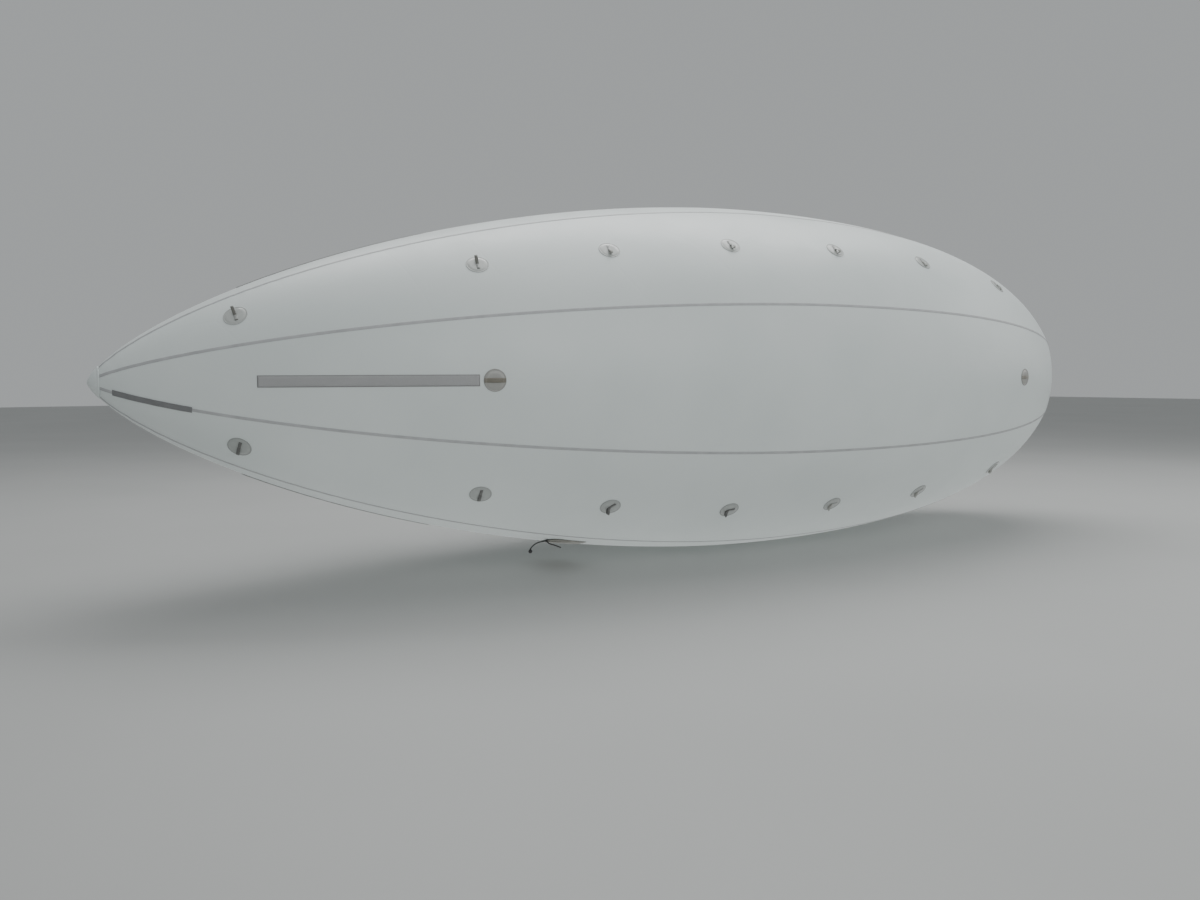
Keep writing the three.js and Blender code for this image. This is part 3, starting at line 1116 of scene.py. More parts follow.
@dataclass(frozen=True)
class BallFinish:
    """Black moulded ball, satin with fine pits and scuffs."""

    name: str = "moulded_ball"
    slot: str = "ball"
    colour: Colour = (0.014, 0.014, 0.015, 1.0)
    scuff: Colour = (0.06, 0.06, 0.058, 1.0)
    scuffs: Clouds = Clouds(190.0, 6, 0.56, 0.7, 0.7)
    rough_low: float = 0.34
    rough_high: float = 0.6
    pits: Relief = Relief(1400.0, 0.00012)

    def make(self) -> Stuff:
        """Makes the plastic.

        Returns:
            The finished plastic.
        """
        graph = Graph(self.name)
        where = graph.spot(Source.BODY)
        scuffs = graph.clouds(where, self.scuffs)
        return graph.finish(
            self.slot,
            Base_Color=graph.mix(scuffs, self.colour, self.scuff),
            Roughness=graph.range(scuffs, 0, 1, self.rough_low, self.rough_high),
            Normal=graph.uneven(where, self.pits),
        )


@dataclass(frozen=True)
class FloorFinish:
    """A plain pale floor."""

    name: str = "pale_floor"
    colour: Colour = (0.45, 0.457, 0.45, 1.0)
    worn: Colour = (0.425, 0.433, 0.425, 1.0)
    wear: Clouds = Clouds(0.5, 3, 0.3, 0.7)

    def make(self) -> Stuff:
        """Makes the floor.

        Returns:
            The finished floor, which has no slot.
        """
        graph = Graph(self.name, Roughness=0.6)
        wear = graph.clouds(graph.spot(Source.BODY), self.wear)
        return graph.finish("", Base_Color=graph.mix(wear, self.colour, self.worn))


# Finished pieces


def place_piece(bm: BMesh, name: str, stuff: Stuff, nodes: Sequence[str]) -> Object:
    """Makes a form into a piece that moves with the balloon.

    Args:
        bm: The form, in the part's frame. It is freed.
        name: The piece's name.
        stuff: What it is made of.
        nodes: The solids that it stands for.

    Returns:
        The piece.
    """
    mesh = bpy.data.meshes.new(name)
    bm.to_mesh(mesh)
    bm.free()
    mesh.materials.append(stuff.material)
    piece = bpy.data.objects.new(name, mesh)
    bpy.context.scene.collection.objects.link(piece)
    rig.ride(piece, BODY)
    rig.slot(piece, stuff.slot)
    if nodes:
        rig.replaces(piece, *nodes)
    LOG.info("%s: %d faces", name, len(mesh.polygons))
    return piece


@dataclass
class FilmGores:
    """The eight film panels of the envelope."""

    envelope: Envelope
    film: Stuff
    thickness: float = 0.003
    tail_rows: int = 230
    nose_rows: int = 190
    columns: int = 20
    edge_gap: float = 0.0002
    sides: tuple[str, ...] = (
        "starboard", "starboard_upper", "top", "port_upper",
        "port", "port_lower", "belly", "starboard_lower",
    )

    def station(self, row: int) -> float:
        """Finds where a row lies.

        Args:
            row: The row, counted from the tail tip to the nose tip.

        Returns:
            Its station along the axis.
        """
        shape = self.envelope
        if row <= self.tail_rows:
            end = math.asin(shape.station(shape.tip_radius, shape.tail) / shape.tail.length)
            return -shape.tail.length * math.sin(end * (1 - row / self.tail_rows))
        end = math.asin(shape.station(shape.tip_radius, shape.nose) / shape.nose.length)
        return shape.nose.length * math.sin(end * (row - self.tail_rows) / self.nose_rows)

    def flat_size(self) -> tuple[float, float, float]:
        """Measures one panel as it is cut.

        Returns:
            Its width, length and area.
        """
        shape = self.envelope
        rows = [self.station(row) for row in range(self.tail_rows + self.nose_rows + 1)]
        turn = math.radians(shape.gore_angle)
        area = 0.0
        for low, high in zip(rows, rows[1:]):
            area += turn * (shape.radius(low) + shape.radius(high)) / 2 * (shape.arc(high) - shape.arc(low))
        return turn * shape.max_radius, shape.arc(rows[-1]) - shape.arc(rows[0]), area

    def panel(self, middle: float) -> BMesh:
        """Makes one panel, denser towards its two seams.

        Args:
            middle: The angle of its middle line.

        Returns:
            The panel, with its wall turned inwards.
        """
        shape = self.envelope
        half = shape.gore_angle / 2
        rows = [self.station(row) for row in range(self.tail_rows + self.nose_rows + 1)]
        shares = [math.sin(math.pi / 2 * (2 * c / self.columns - 1)) for c in range(self.columns + 1)]

        def place(row: int, column: int) -> Vector:
            """The point of a row and column."""
            inset = math.degrees(self.edge_gap / shape.radius(rows[row]))
            return shape.skin(rows[row], middle + shares[column] * (half - inset))

        def unrolled(row: int, column: int) -> Corner:
            """Its place on the flat panel."""
            return shape.arc(rows[row]), shares[column] * math.radians(half) * shape.radius(rows[row])

        bm = grid_form(len(rows) - 1, self.columns, place, unrolled)
        bmesh.ops.recalc_face_normals(bm, faces=bm.faces)
        probe = bm.faces[:][len(bm.faces) // 2]
        radial = Vector((0, *probe.calc_center_median().yz))
        if probe.normal.dot(radial) < 0:
            bmesh.ops.reverse_faces(bm, faces=bm.faces)
        bmesh.ops.solidify(bm, geom=bm.faces, thickness=self.thickness)
        return bm

    def build(self) -> None:
        """Builds the panels."""
        width, length, area = self.flat_size()
        for index, side in enumerate(self.sides):
            panel = self.panel(index * self.envelope.gore_angle)
            piece = place_piece(panel, f"film_{side}", self.film, [f"gore_{side}"])
            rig.sheet(piece, flat=(width, length), held="stretched", area=area)


@dataclass(frozen=True)
class SeamLine:
    """A line of constant angle along the skin, in rows that lie closer towards the tips."""

    envelope: Envelope
    start: float
    end: float
    angle: float
    rows: int

    def strip(self, section: Sequence[Corner], lift: float) -> BMesh:
        """Lays a strip along the line.

        Args:
            section: Corners of the strip's section.
            lift: Distance of its underside from the skin.

        Returns:
            The strip.
        """
        shape = self.envelope
        first, last = (math.asin(x / shape.half(x).length) for x in (self.start, self.end))
        steps = [first + (last - first) * k / self.rows for k in range(self.rows + 1)]
        stations = [shape.half(t).length * math.sin(t) for t in steps]
        return tube_form(
            self.rows,
            section,
            lambda row, corner: shape.beside(stations[row], self.angle, corner[0], lift + corner[1]),
            lambda row: shape.arc(stations[row]),
        )


@dataclass
class WeldTapes:
    """The narrow tape over each seam, and the wide one that closes the tail."""

    envelope: Envelope
    tape: Stuff
    closing: Stuff
    width: float = 0.016
    thickness: float = 0.0011
    lift: float = 0.0003
    end_radius: float = 0.060
    rows: int = 420
    closing_width: float = 0.030
    closing_from: float = -3.955
    closing_to: float = -3.611
    closing_angle: float = -22.5
    closing_lift: float = 0.0017
    closing_thickness: float = 0.0015
    closing_rows: int = 48
    edge: float = 0.0004

    def build(self) -> None:
        """Builds the tapes."""
        shape = self.envelope
        start = -shape.station(self.end_radius, shape.tail)
        end = shape.station(self.end_radius, shape.nose)
        section = flat_bar(self.width, self.thickness, self.edge, 4)
        for index in range(shape.gores):
            line = SeamLine(shape, start, end, (index + 0.5) * shape.gore_angle, self.rows)
            strip = line.strip(section, self.lift)
            place_piece(strip, f"weld_tape_{index + 1}", self.tape, [f"seam_tape_{index + 1}"])
        wide = flat_bar(self.closing_width, self.closing_thickness, self.edge, 6)
        line = SeamLine(shape, self.closing_from, self.closing_to, self.closing_angle, self.closing_rows)
        place_piece(line.strip(wide, self.closing_lift), "closing_band", self.closing, ["closing_tape"])


@dataclass
class EndCaps:
    """The round caps welded over the gore tips, with a pressed ring and shallow radial puckers."""

    envelope: Envelope
    film: Stuff
    lift: float = 0.0018
    thickness: float = 0.0028
    # The section, as shares of the radius. Over the top each has its depth below the top's height.
    over: tuple[Corner, ...] = (
        (0.0, 0.0), (0.12, 0.0), (0.3, 0.0), (0.5, 0.0), (0.68, 0.0), (0.80, 0.0),
        (0.83, 0.0010), (0.86, 0.0010), (0.89, 0.0), (0.97, 0.0), (0.995, 0.0006), (1.0, 0.0014),
    )
    under: tuple[float, ...] = (1.0, 0.8, 0.5, 0.2, 0.0)
    sides: int = 96
    puckers: int = 16
    pucker_height: float = 0.0006
    pucker_fade: float = 0.35
    # Each cap's name, the solid under it, the tip that it lies over and its radius
    tips: tuple[tuple[str, str, int, float], ...] = (
        ("nose_cap", "nose_disc", 1, 0.130),
        ("tail_cap", "tail_disc", -1, 0.080),
    )

    def cap(self, towards: int, radius: float) -> BMesh:
        """Makes one cap over a tip.

        Args:
            towards: 1 at the nose and -1 at the tail.
            radius: The cap's radius.

        Returns:
            The cap.
        """
        top = self.lift + self.thickness
        profile = [(radius * share, top - depth) for share, depth in self.over]
        profile += [(radius * share, self.lift) for share in self.under]
        bm = turned_form(profile, self.sides)
        for vert in bm.verts:
            x, y, height = vert.co
            out = math.hypot(x, y)
            turn = math.atan2(y, x)
            share = min(1.0, out / radius)
            wave = math.sin(self.puckers * turn) * share**2 * (1 - self.pucker_fade * share)
            raised = height + (self.pucker_height * wave if height > self.lift else 0)
            vert.co = self.envelope.cap(towards, out, math.degrees(turn), raised)
        bmesh.ops.recalc_face_normals(bm, faces=bm.faces)
        return bm

    def build(self) -> None:
        """Builds the two caps."""
        for name, node, towards, radius in self.tips:
            place_piece(self.cap(towards, radius), name, self.film, [node])


@dataclass
class FinSeats:
    """The four long strips that hold the fins' roots: a sewn tape and a hook strip on it."""

    envelope: Envelope
    base: Stuff
    hooks: Stuff
    width: float = 0.061
    base_thickness: float = 0.0014
    base_edge: float = 0.0004
    pad_width: float = 0.0525
    pad_thickness: float = 0.0024
    pad_edge: float = 0.0008
    start: float = -3.324
    end: float = -2.273
    pad_inset: float = 0.0042
    lift: float = 0.0003
    rows: int = 110
    lines: tuple[tuple[str, float], ...] = (("starboard", 0), ("top", 90), ("port", 180), ("belly", 270))

    def build(self) -> None:
        """Builds the seats."""
        base = flat_bar(self.width, self.base_thickness, self.base_edge, 4)
        pad = flat_bar(self.pad_width, self.pad_thickness, self.pad_edge, 4)
        on_base = self.lift + self.base_thickness - SINK
        for side, angle in self.lines:
            line = SeamLine(self.envelope, self.start, self.end, angle, self.rows)
            inner = replace(line, start=self.start + self.pad_inset, end=self.end - self.pad_inset)
            for name, section, lift, seam, stuff in (
                ("tape", base, self.lift, line, self.base),
                ("hooks", pad, on_base, inner, self.hooks),
            ):
                strip = seam.strip(section, lift)
                place_piece(strip, f"fin_seat_{name}_{side}", stuff, [f"fin_strip_{side}"])


@dataclass(frozen=True)
class Disc:
    """A round patch with a weld ring pressed into it near its edge."""

    radius: float
    thickness: float = 0.0022
    lift: float = 0.0003
    ring_inset: float = 0.0065
    ring_reach: float = 0.0016
    ring_depth: float = 0.0006
    sides: int = 64
    # The eased edge, as distances in from the rim and down from the top
    edge: tuple[Corner, ...] = ((0.0010, 0.0), (0.0002, 0.0003), (0.0, 0.0009))
    # Where the plain top and the underside have their rings of faces, as shares of the radius
    over: tuple[float, ...] = (0.0, 0.3, 0.6)
    under: tuple[float, ...] = (1.0, 0.66, 0.33, 0.0)

    def laid(self, place: Place) -> BMesh:
        """Makes the patch and lays it on the skin.

        Args:
            place: Where its middle lies.

        Returns:
            The patch.
        """
        top, ring = self.lift + self.thickness, self.radius - self.ring_inset
        bottom = top - self.ring_depth
        profile = [(self.radius * share, top) for share in self.over]
        profile += [(ring - self.ring_reach, top), (ring - self.ring_reach / 2, bottom)]
        profile += [(ring + self.ring_reach / 2, bottom), (ring + self.ring_reach, top)]
        profile += [(self.radius - inset, top - drop) for inset, drop in self.edge]
        profile += [(self.radius * share, self.lift) for share in self.under]
        bm = turned_form(profile, self.sides)
        for vert in bm.verts:
            vert.co = place.lay(*vert.co)
        bmesh.ops.recalc_face_normals(bm, faces=bm.faces)
        return bm

    @property
    def seat(self) -> float:
        """The height at which a piece sewn on the patch starts."""
        return self.lift + self.thickness - SINK


@dataclass
class StrapPatches:
    """The four round patches with a strap across them, for handling lines."""

    envelope: Envelope
    patch: Stuff
    strap: Stuff
    disc: Disc = Disc(0.060)
    strap_width: float = 0.024
    strap_thickness: float = 0.0020
    strap_edge: float = 0.0007
    strap_length: float = 0.112
    # The height of the strap's bow, and the share of its length that bows
    bow: float = 0.0042
    bow_share: float = 0.72
    rows: int = 40
    sides: tuple[tuple[str, float], ...] = (("starboard", 0), ("port", 180))
    stations: tuple[tuple[str, float], ...] = (("aft", -2.196), ("fore", 1.880))

    def band(self, place: Place) -> BMesh:
        """Makes the strap, sewn down at both ends and bowed out between them.

        Args:
            place: Where its middle lies.

        Returns:
            The strap.
        """
        half = self.strap_length / 2
        section = flat_bar(self.strap_width, self.strap_thickness, self.strap_edge, 4)
        spots = [half * (2 * row / self.rows - 1) for row in range(self.rows + 1)]

        def set_point(row: int, corner: Corner) -> Vector:
            """Finds a point of the strap.

            Args:
                row: Row along the strap.
                corner: Corner of its section.

            Returns:
                The point in the part's frame.
            """
            share = min(1.0, abs(spots[row]) / (half * self.bow_share))
            bow = self.bow * (1 - share**2) ** 2
            return place.lay(spots[row], corner[0], self.disc.seat + bow + corner[1])

        return tube_form(self.rows, section, set_point, lambda row: half + spots[row])

    def build(self) -> None:
        """Builds the patches."""
        for side, angle in self.sides:
            for end, x in self.stations:
                place = Place(self.envelope, x, angle)
                node = f"strap_patch_{side}_{end}"
                place_piece(self.disc.laid(place), f"strap_disc_{side}_{end}", self.patch, [node])
                place_piece(self.band(place), f"strap_{side}_{end}", self.strap, [node])


class Cloth(Enum):
    """The state of a loop's webbing."""

    DARK = "bare and dark"
    # The covered webbing is also paler than the dark one: painted light, for the light on the upper loops
    COVERED = "its sewn end lies under film"
    # Painted sheen: this webbing's eye is a much paler copy of the dark webbing, for the light that catches these
    # loops
    PAINTED_SHEEN = "its sewn end lies under film, and its eye has faded"


class Carry(Enum):
    """What the free eye of a loop does."""

    HANGS = "bends over and hangs down"
    STANDS = "stands out as it was sewn"
    LEANS = "lies back along the skin"


@dataclass(frozen=True)
class Hang:
    """How one loop is sewn down and how its free eye carries itself."""

    # Direction of the sewn end: 0 is down the skin on the upper rows and up it on the lower ones,
    # 90 is towards the nose
    heading: float = 0.0
    carry: Carry = Carry.HANGS
    rise: float = 0.45
    # How far a hanging eye keeps to the line of its sewn end, against its weight
    stiffness: float = 0.0
    gape: float = 0.0075
    twist: float = 0.0
    cloth: Cloth = Cloth.DARK


UPPER_HANGS = (
    Hang(heading=4, carry=Carry.STANDS, rise=0.50, twist=8, cloth=Cloth.COVERED),
    Hang(heading=-3, carry=Carry.STANDS, rise=0.55, twist=-6, cloth=Cloth.COVERED),
    Hang(heading=171, carry=Carry.STANDS, rise=0.30, gape=0.0080, twist=12, cloth=Cloth.PAINTED_SHEEN),
    Hang(heading=177, carry=Carry.STANDS, rise=0.32, gape=0.0085, twist=-10, cloth=Cloth.PAINTED_SHEEN),
    Hang(heading=173, carry=Carry.STANDS, rise=0.38, gape=0.0110, twist=24, cloth=Cloth.PAINTED_SHEEN),
    Hang(heading=175, carry=Carry.STANDS, rise=0.14, gape=0.0055, cloth=Cloth.PAINTED_SHEEN),
    Hang(heading=175, carry=Carry.LEANS, rise=0.45, gape=0.0060, twist=10, cloth=Cloth.PAINTED_SHEEN),
)
LOWER_HANGS = (
    Hang(heading=4, rise=0.20, stiffness=4.0, gape=0.0065),
    Hang(heading=-3, rise=0.16, stiffness=6.0, gape=0.0060, twist=-5),
    Hang(heading=37, rise=0.25, stiffness=0.1, twist=10),
    Hang(heading=72, rise=0.25, stiffness=0.46, gape=0.0070, twist=60),
    Hang(heading=72, rise=0.25, stiffness=0.67, gape=0.0060, twist=80, cloth=Cloth.PAINTED_SHEEN),
    Hang(heading=55, rise=0.25, stiffness=1.1, gape=0.0055, twist=75, cloth=Cloth.PAINTED_SHEEN),
    Hang(heading=40, rise=0.25, stiffness=2.0, gape=0.0060, twist=50, cloth=Cloth.PAINTED_SHEEN),
)


@dataclass
class BannerLoops:
    """The patches with a webbing loop from which banners hang, in four rows of seven."""

    envelope: Envelope
    # The upper rows' patch fabric is paler than the lower rows': painted light
    lit_upper_patch: Stuff
    lower_patch: Stuff
    webbing: dict[Cloth, Stuff]
    disc: Disc = Disc(0.062)
    width: float = 0.0162
    ply: float = 0.0017
    ply_edge: float = 0.0005
    # The distance between the two sewn plies' middles, in plies
    ply_pitch: float = 1.05
    sewn: float = 0.037
    sewn_steps: int = 6
    eye: float = 0.049
    eye_steps: int = 30
    # How the free eye's course changes: its rise where it stands, its dip where it leans, its bend's rate
    stand: float = 1.25
    lean: float = 0.22
    bend: float = 1.5
    # How far the eye's sides bulge, in gapes
    bulge: float = 2.6
    closest: float = 0.0012
    stations: tuple[float, ...] = (-3.390, -2.182, -1.420, -0.618, 0.199, 1.019, 1.915)
    rows: tuple[tuple[str, float, tuple[Hang, ...]], ...] = (
        ("starboard_upper", 45, UPPER_HANGS),
        ("starboard_lower", -45, LOWER_HANGS),
        ("port_upper", 135, UPPER_HANGS),
        ("port_lower", 225, LOWER_HANGS),
    )

    def axis(self, start: Vector, back: Vector, out: Vector, hang: Hang) -> list[tuple[Vector, Vector]]:
        """Works out the line through the middle of the free eye.

        Args:
            start: Where the eye leaves the patch.
            back: The direction from there along the sewn end.
            out: The direction out of the skin.
            hang: How the loop hangs.

        Returns:
            Points and the directions there.
        """
        first = (out * hang.rise - back).normalized()
        last = {
            Carry.HANGS: (Vector((0, 0, -1)) - back * hang.stiffness).normalized(),
            Carry.STANDS: (out * hang.rise * self.stand - back).normalized(),
            Carry.LEANS: (-out * self.lean - back).normalized(),
        }[hang.carry]
        point, line = start.copy(), []
        for step in range(self.eye_steps + 1):
            share = min(1.0, self.bend * step / self.eye_steps)
            course = first.lerp(last, share * share * (3 - 2 * share)).normalized()
            line.append((point.copy(), course))
            point += course * self.eye / self.eye_steps
        return line

    def ribbon(self, place: Place, hang: Hang) -> BMesh:
        """Makes the webbing: sewn down, out round the open eye and back over itself.

        Args:
            place: Where the patch lies.
            hang: How the loop hangs.

        Returns:
            The webbing.
        """
        way = 1 if math.sin(math.radians(place.angle)) > 0 else -1
        turn = math.radians(hang.heading)
        along, up = math.sin(turn), -way * math.cos(turn)
        out = place.outwards()
        back = (place.ahead() * along + place.uphill() * up).normalized()
        wide = back.cross(out).normalized()
        floor = self.disc.seat + self.ply / 2
        spots = [self.sewn * (1 - k / self.sewn_steps) for k in range(self.sewn_steps + 1)]
        under = [place.lay(along * s, up * s, floor) for s in spots]
        over = [place.lay(along * s, up * s, floor + self.ply * self.ply_pitch) for s in reversed(spots)]
        start = (under[-1] + over[0]) / 2
        axis = self.axis(start, back, out, hang)
        eye, widths = [], []
        for k in range(1, 2 * self.eye_steps):
            swing = math.pi * k / self.eye_steps
            point, course = axis[round(self.eye_steps * (1 - math.cos(swing)) / 2)]
            bulge = self.bulge * hang.gape * math.sin(swing / 2) ** 2 * math.cos(swing / 2)
            root = self.ply / 2 * math.cos(swing / 2)
            share = (point - start).length / self.eye
            turned = Matrix.Rotation(math.radians(hang.twist) * share, 3, course) @ wide
            eye.append(point + turned.cross(course).normalized() * (bulge + root))
            widths.append(turned)
        line = [*under, *eye, *over]
        across = [wide] * len(under) + widths + [wide] * len(over)
        kept = [0]
        for k in range(1, len(line)):
            if (line[k] - line[kept[-1]]).length > self.closest:
                kept.append(k)
        section = [(a, b - self.ply / 2) for a, b in flat_bar(self.width, self.ply, self.ply_edge)]
        return carried_form([line[k] for k in kept], [across[k] for k in kept], section, from_ends=True)

    def build(self) -> None:
        """Builds the loops."""
        for row, angle, hangs in self.rows:
            patch = self.lit_upper_patch if hangs is UPPER_HANGS else self.lower_patch
            for index, (x, hang) in enumerate(zip(self.stations, hangs)):
                place = Place(self.envelope, x, angle)
                node = f"banner_loop_{row}_{index + 1}"
                place_piece(self.disc.laid(place), f"loop_disc_{row}_{index + 1}", patch, [node])
                cloth = self.webbing[hang.cloth]
                place_piece(self.ribbon(place, hang), f"loop_webbing_{row}_{index + 1}", cloth, [node])


@dataclass
class FillingSleeve:
    """The soft filling sleeve: welded under the belly, folded to starboard and gathered at its tie."""

    envelope: Envelope
    film: Stuff
    flange_film: Stuff
    x: float = -1.455
    flange: Disc = Disc(0.085, thickness=0.0025)
    # The film's distance from the skin, and how much it rises round its tie and over the flange
    clearance: float = 0.0012
    tie_lift: float = 0.0095
    tie_reach: float = 0.045
    root_lift: float = 0.0085
    root_reach: float = 0.075
    # The two films' distance, and how they close towards the outline, the two sides and the tie
    film_gap: float = 0.0007
    film_ease: float = 0.0012
    outline_ease: float = 0.014
    side_ease: float = 0.008
    side_least: float = 0.15
    tie_share: float = 0.02
    rows: int = 60
    columns: int = 132
    unrolled_length: float = 0.3
    smoothing: float = 0.25
    # Where it is tied, as distances towards the nose and round the skin from its middle
    tie: Corner = (-0.146, 0.264)
    # The folds: heights of the main and the small ridges by the tie, and of the ridges and slack beyond
    pleats: int = 9
    ridge_near: float = 0.0052
    small_near: float = 0.0016
    ridge_far: float = 0.0022
    slack_far: float = 0.0010
    near_reach: float = 0.055
    far_reach: float = 0.10
    # How far the ridges wander sideways, their wave's radians to a metre and its start at the tie
    ridge_drift: float = 0.35
    drift_rate: float = 13
    drift_start: float = 2.1
    small_pleats: int = 21
    small_start: float = 1.1
    # The slack film's two waves: the first one's radians to a metre out from the tie and over the
    # whole outline, then the second one's over the outline and its start
    slack_rate: float = 31
    slack_turn: float = 9
    slack_round: float = 17
    slack_start: float = 1.0
    # The sleeve laid flat, as a tube pressed into two layers
    flat_size: Corner = (0.27, 0.27)
    # The outline of the folded film, seen from its tie: direction in degrees and distance
    outline: tuple[Corner, ...] = (
        (58, 0.036), (45, 0.066), (25, 0.112), (15, 0.176), (10.5, 0.262), (-4, 0.266),
        (-18, 0.274), (-33, 0.298), (-48, 0.318), (-62, 0.290), (-80, 0.246),
    )

    def spread(self, share: float) -> Corner:
        """The direction and reach of the film at a share of its outline.

        Args:
            share: 0 at the free end's corner by the tie, 1 at the other side of the tie.

        Returns:
            The direction in radians, and the distance from the tie to the outline.
        """
        spot = share * (len(self.outline) - 1)
        index = min(len(self.outline) - 2, int(spot))
        low, high = self.outline[index], self.outline[index + 1]
        t = spot - index
        return math.radians(low[0] + (high[0] - low[0]) * t), low[1] + (high[1] - low[1]) * t

    def folds(self, share: float, distance: float) -> float:
        """The height of the folds that run out from the tie.

        Args:
            share: Place along the outline.
            distance: Distance from the tie.

        Returns:
            The height of the film's folds.
        """
        drift = self.ridge_drift * math.sin(self.drift_rate * distance + self.drift_start)
        ridge = 1 - abs(math.sin(math.pi * self.pleats * share + drift))
        small = 1 - abs(math.sin(math.pi * self.small_pleats * share + self.small_start - 2 * drift))
        near = distance / self.near_reach * math.exp(1 - distance / self.near_reach)
        far = min(1.0, distance / self.far_reach)
        slack = math.sin(self.slack_rate * distance + self.slack_turn * share)
        slack *= math.sin(self.slack_round * share + self.slack_start)
        by_tie = ridge * self.ridge_near + small * self.small_near
        return by_tie * near + (ridge * self.ridge_far + slack * self.slack_far) * far

    def point(self, row: int, corner: Corner) -> Vector:
        """Places a point of the film.

        Args:
            row: Row from the tie to the outline.
            corner: Share along the outline, and 1 on the outer film or 0 on the film by the skin. The
                two meet in the last row.

        Returns:
            The point in the part's frame.
        """
        share, outer = corner
        t = self.tie_share + (1 - self.tie_share) * row / self.rows
        turn, reach = self.spread(share)
        distance = reach * t
        along = self.tie[0] + distance * math.cos(turn)
        across = self.tie[1] + distance * math.sin(turn)
        side = self.side_least + min(share, 1 - share) * distance / self.side_ease
        edge = min(1.0, (1 - t) * reach / self.outline_ease, side)
        root = math.exp(-((math.hypot(along, across) / self.root_reach) ** 2))
        lift = self.clearance + self.tie_lift * math.exp(-distance / self.tie_reach) + self.root_lift * root
        if row == self.rows:
            lift += self.film_gap / 2
        elif outer > 0:
            lift += self.film_gap + (self.film_ease + self.folds(share, distance)) * edge
        return Place(self.envelope, self.x, -90).lay(along, across, lift)

    def sleeve(self) -> BMesh:
        """Makes the folded film as a flat bag round its tie.

        Returns:
            The closed bag.
        """
        shares = [k / self.columns for k in range(self.columns + 1)]
        section = [(s, 1.0) for s in shares] + [(s, 0.0) for s in reversed(shares)]
        bm = tube_form(self.rows, section, self.point, lambda row: self.unrolled_length * row / self.rows)
        axes = {f"use_axis_{axis}": True for axis in "xyz"}
        bmesh.ops.smooth_vert(bm, verts=bm.verts, factor=self.smoothing, **axes)
        for face in bm.faces:
            face.smooth = True
        return bm

    def build(self) -> None:
        """Builds the sleeve and its flange."""
        place = Place(self.envelope, self.x, -90)
        place_piece(self.flange.laid(place), "sleeve_flange", self.flange_film, ["filling_sleeve"])
        piece = place_piece(self.sleeve(), "sleeve_film", self.film, ["filling_sleeve"])
        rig.sheet(piece, flat=self.flat_size, held="gathered")


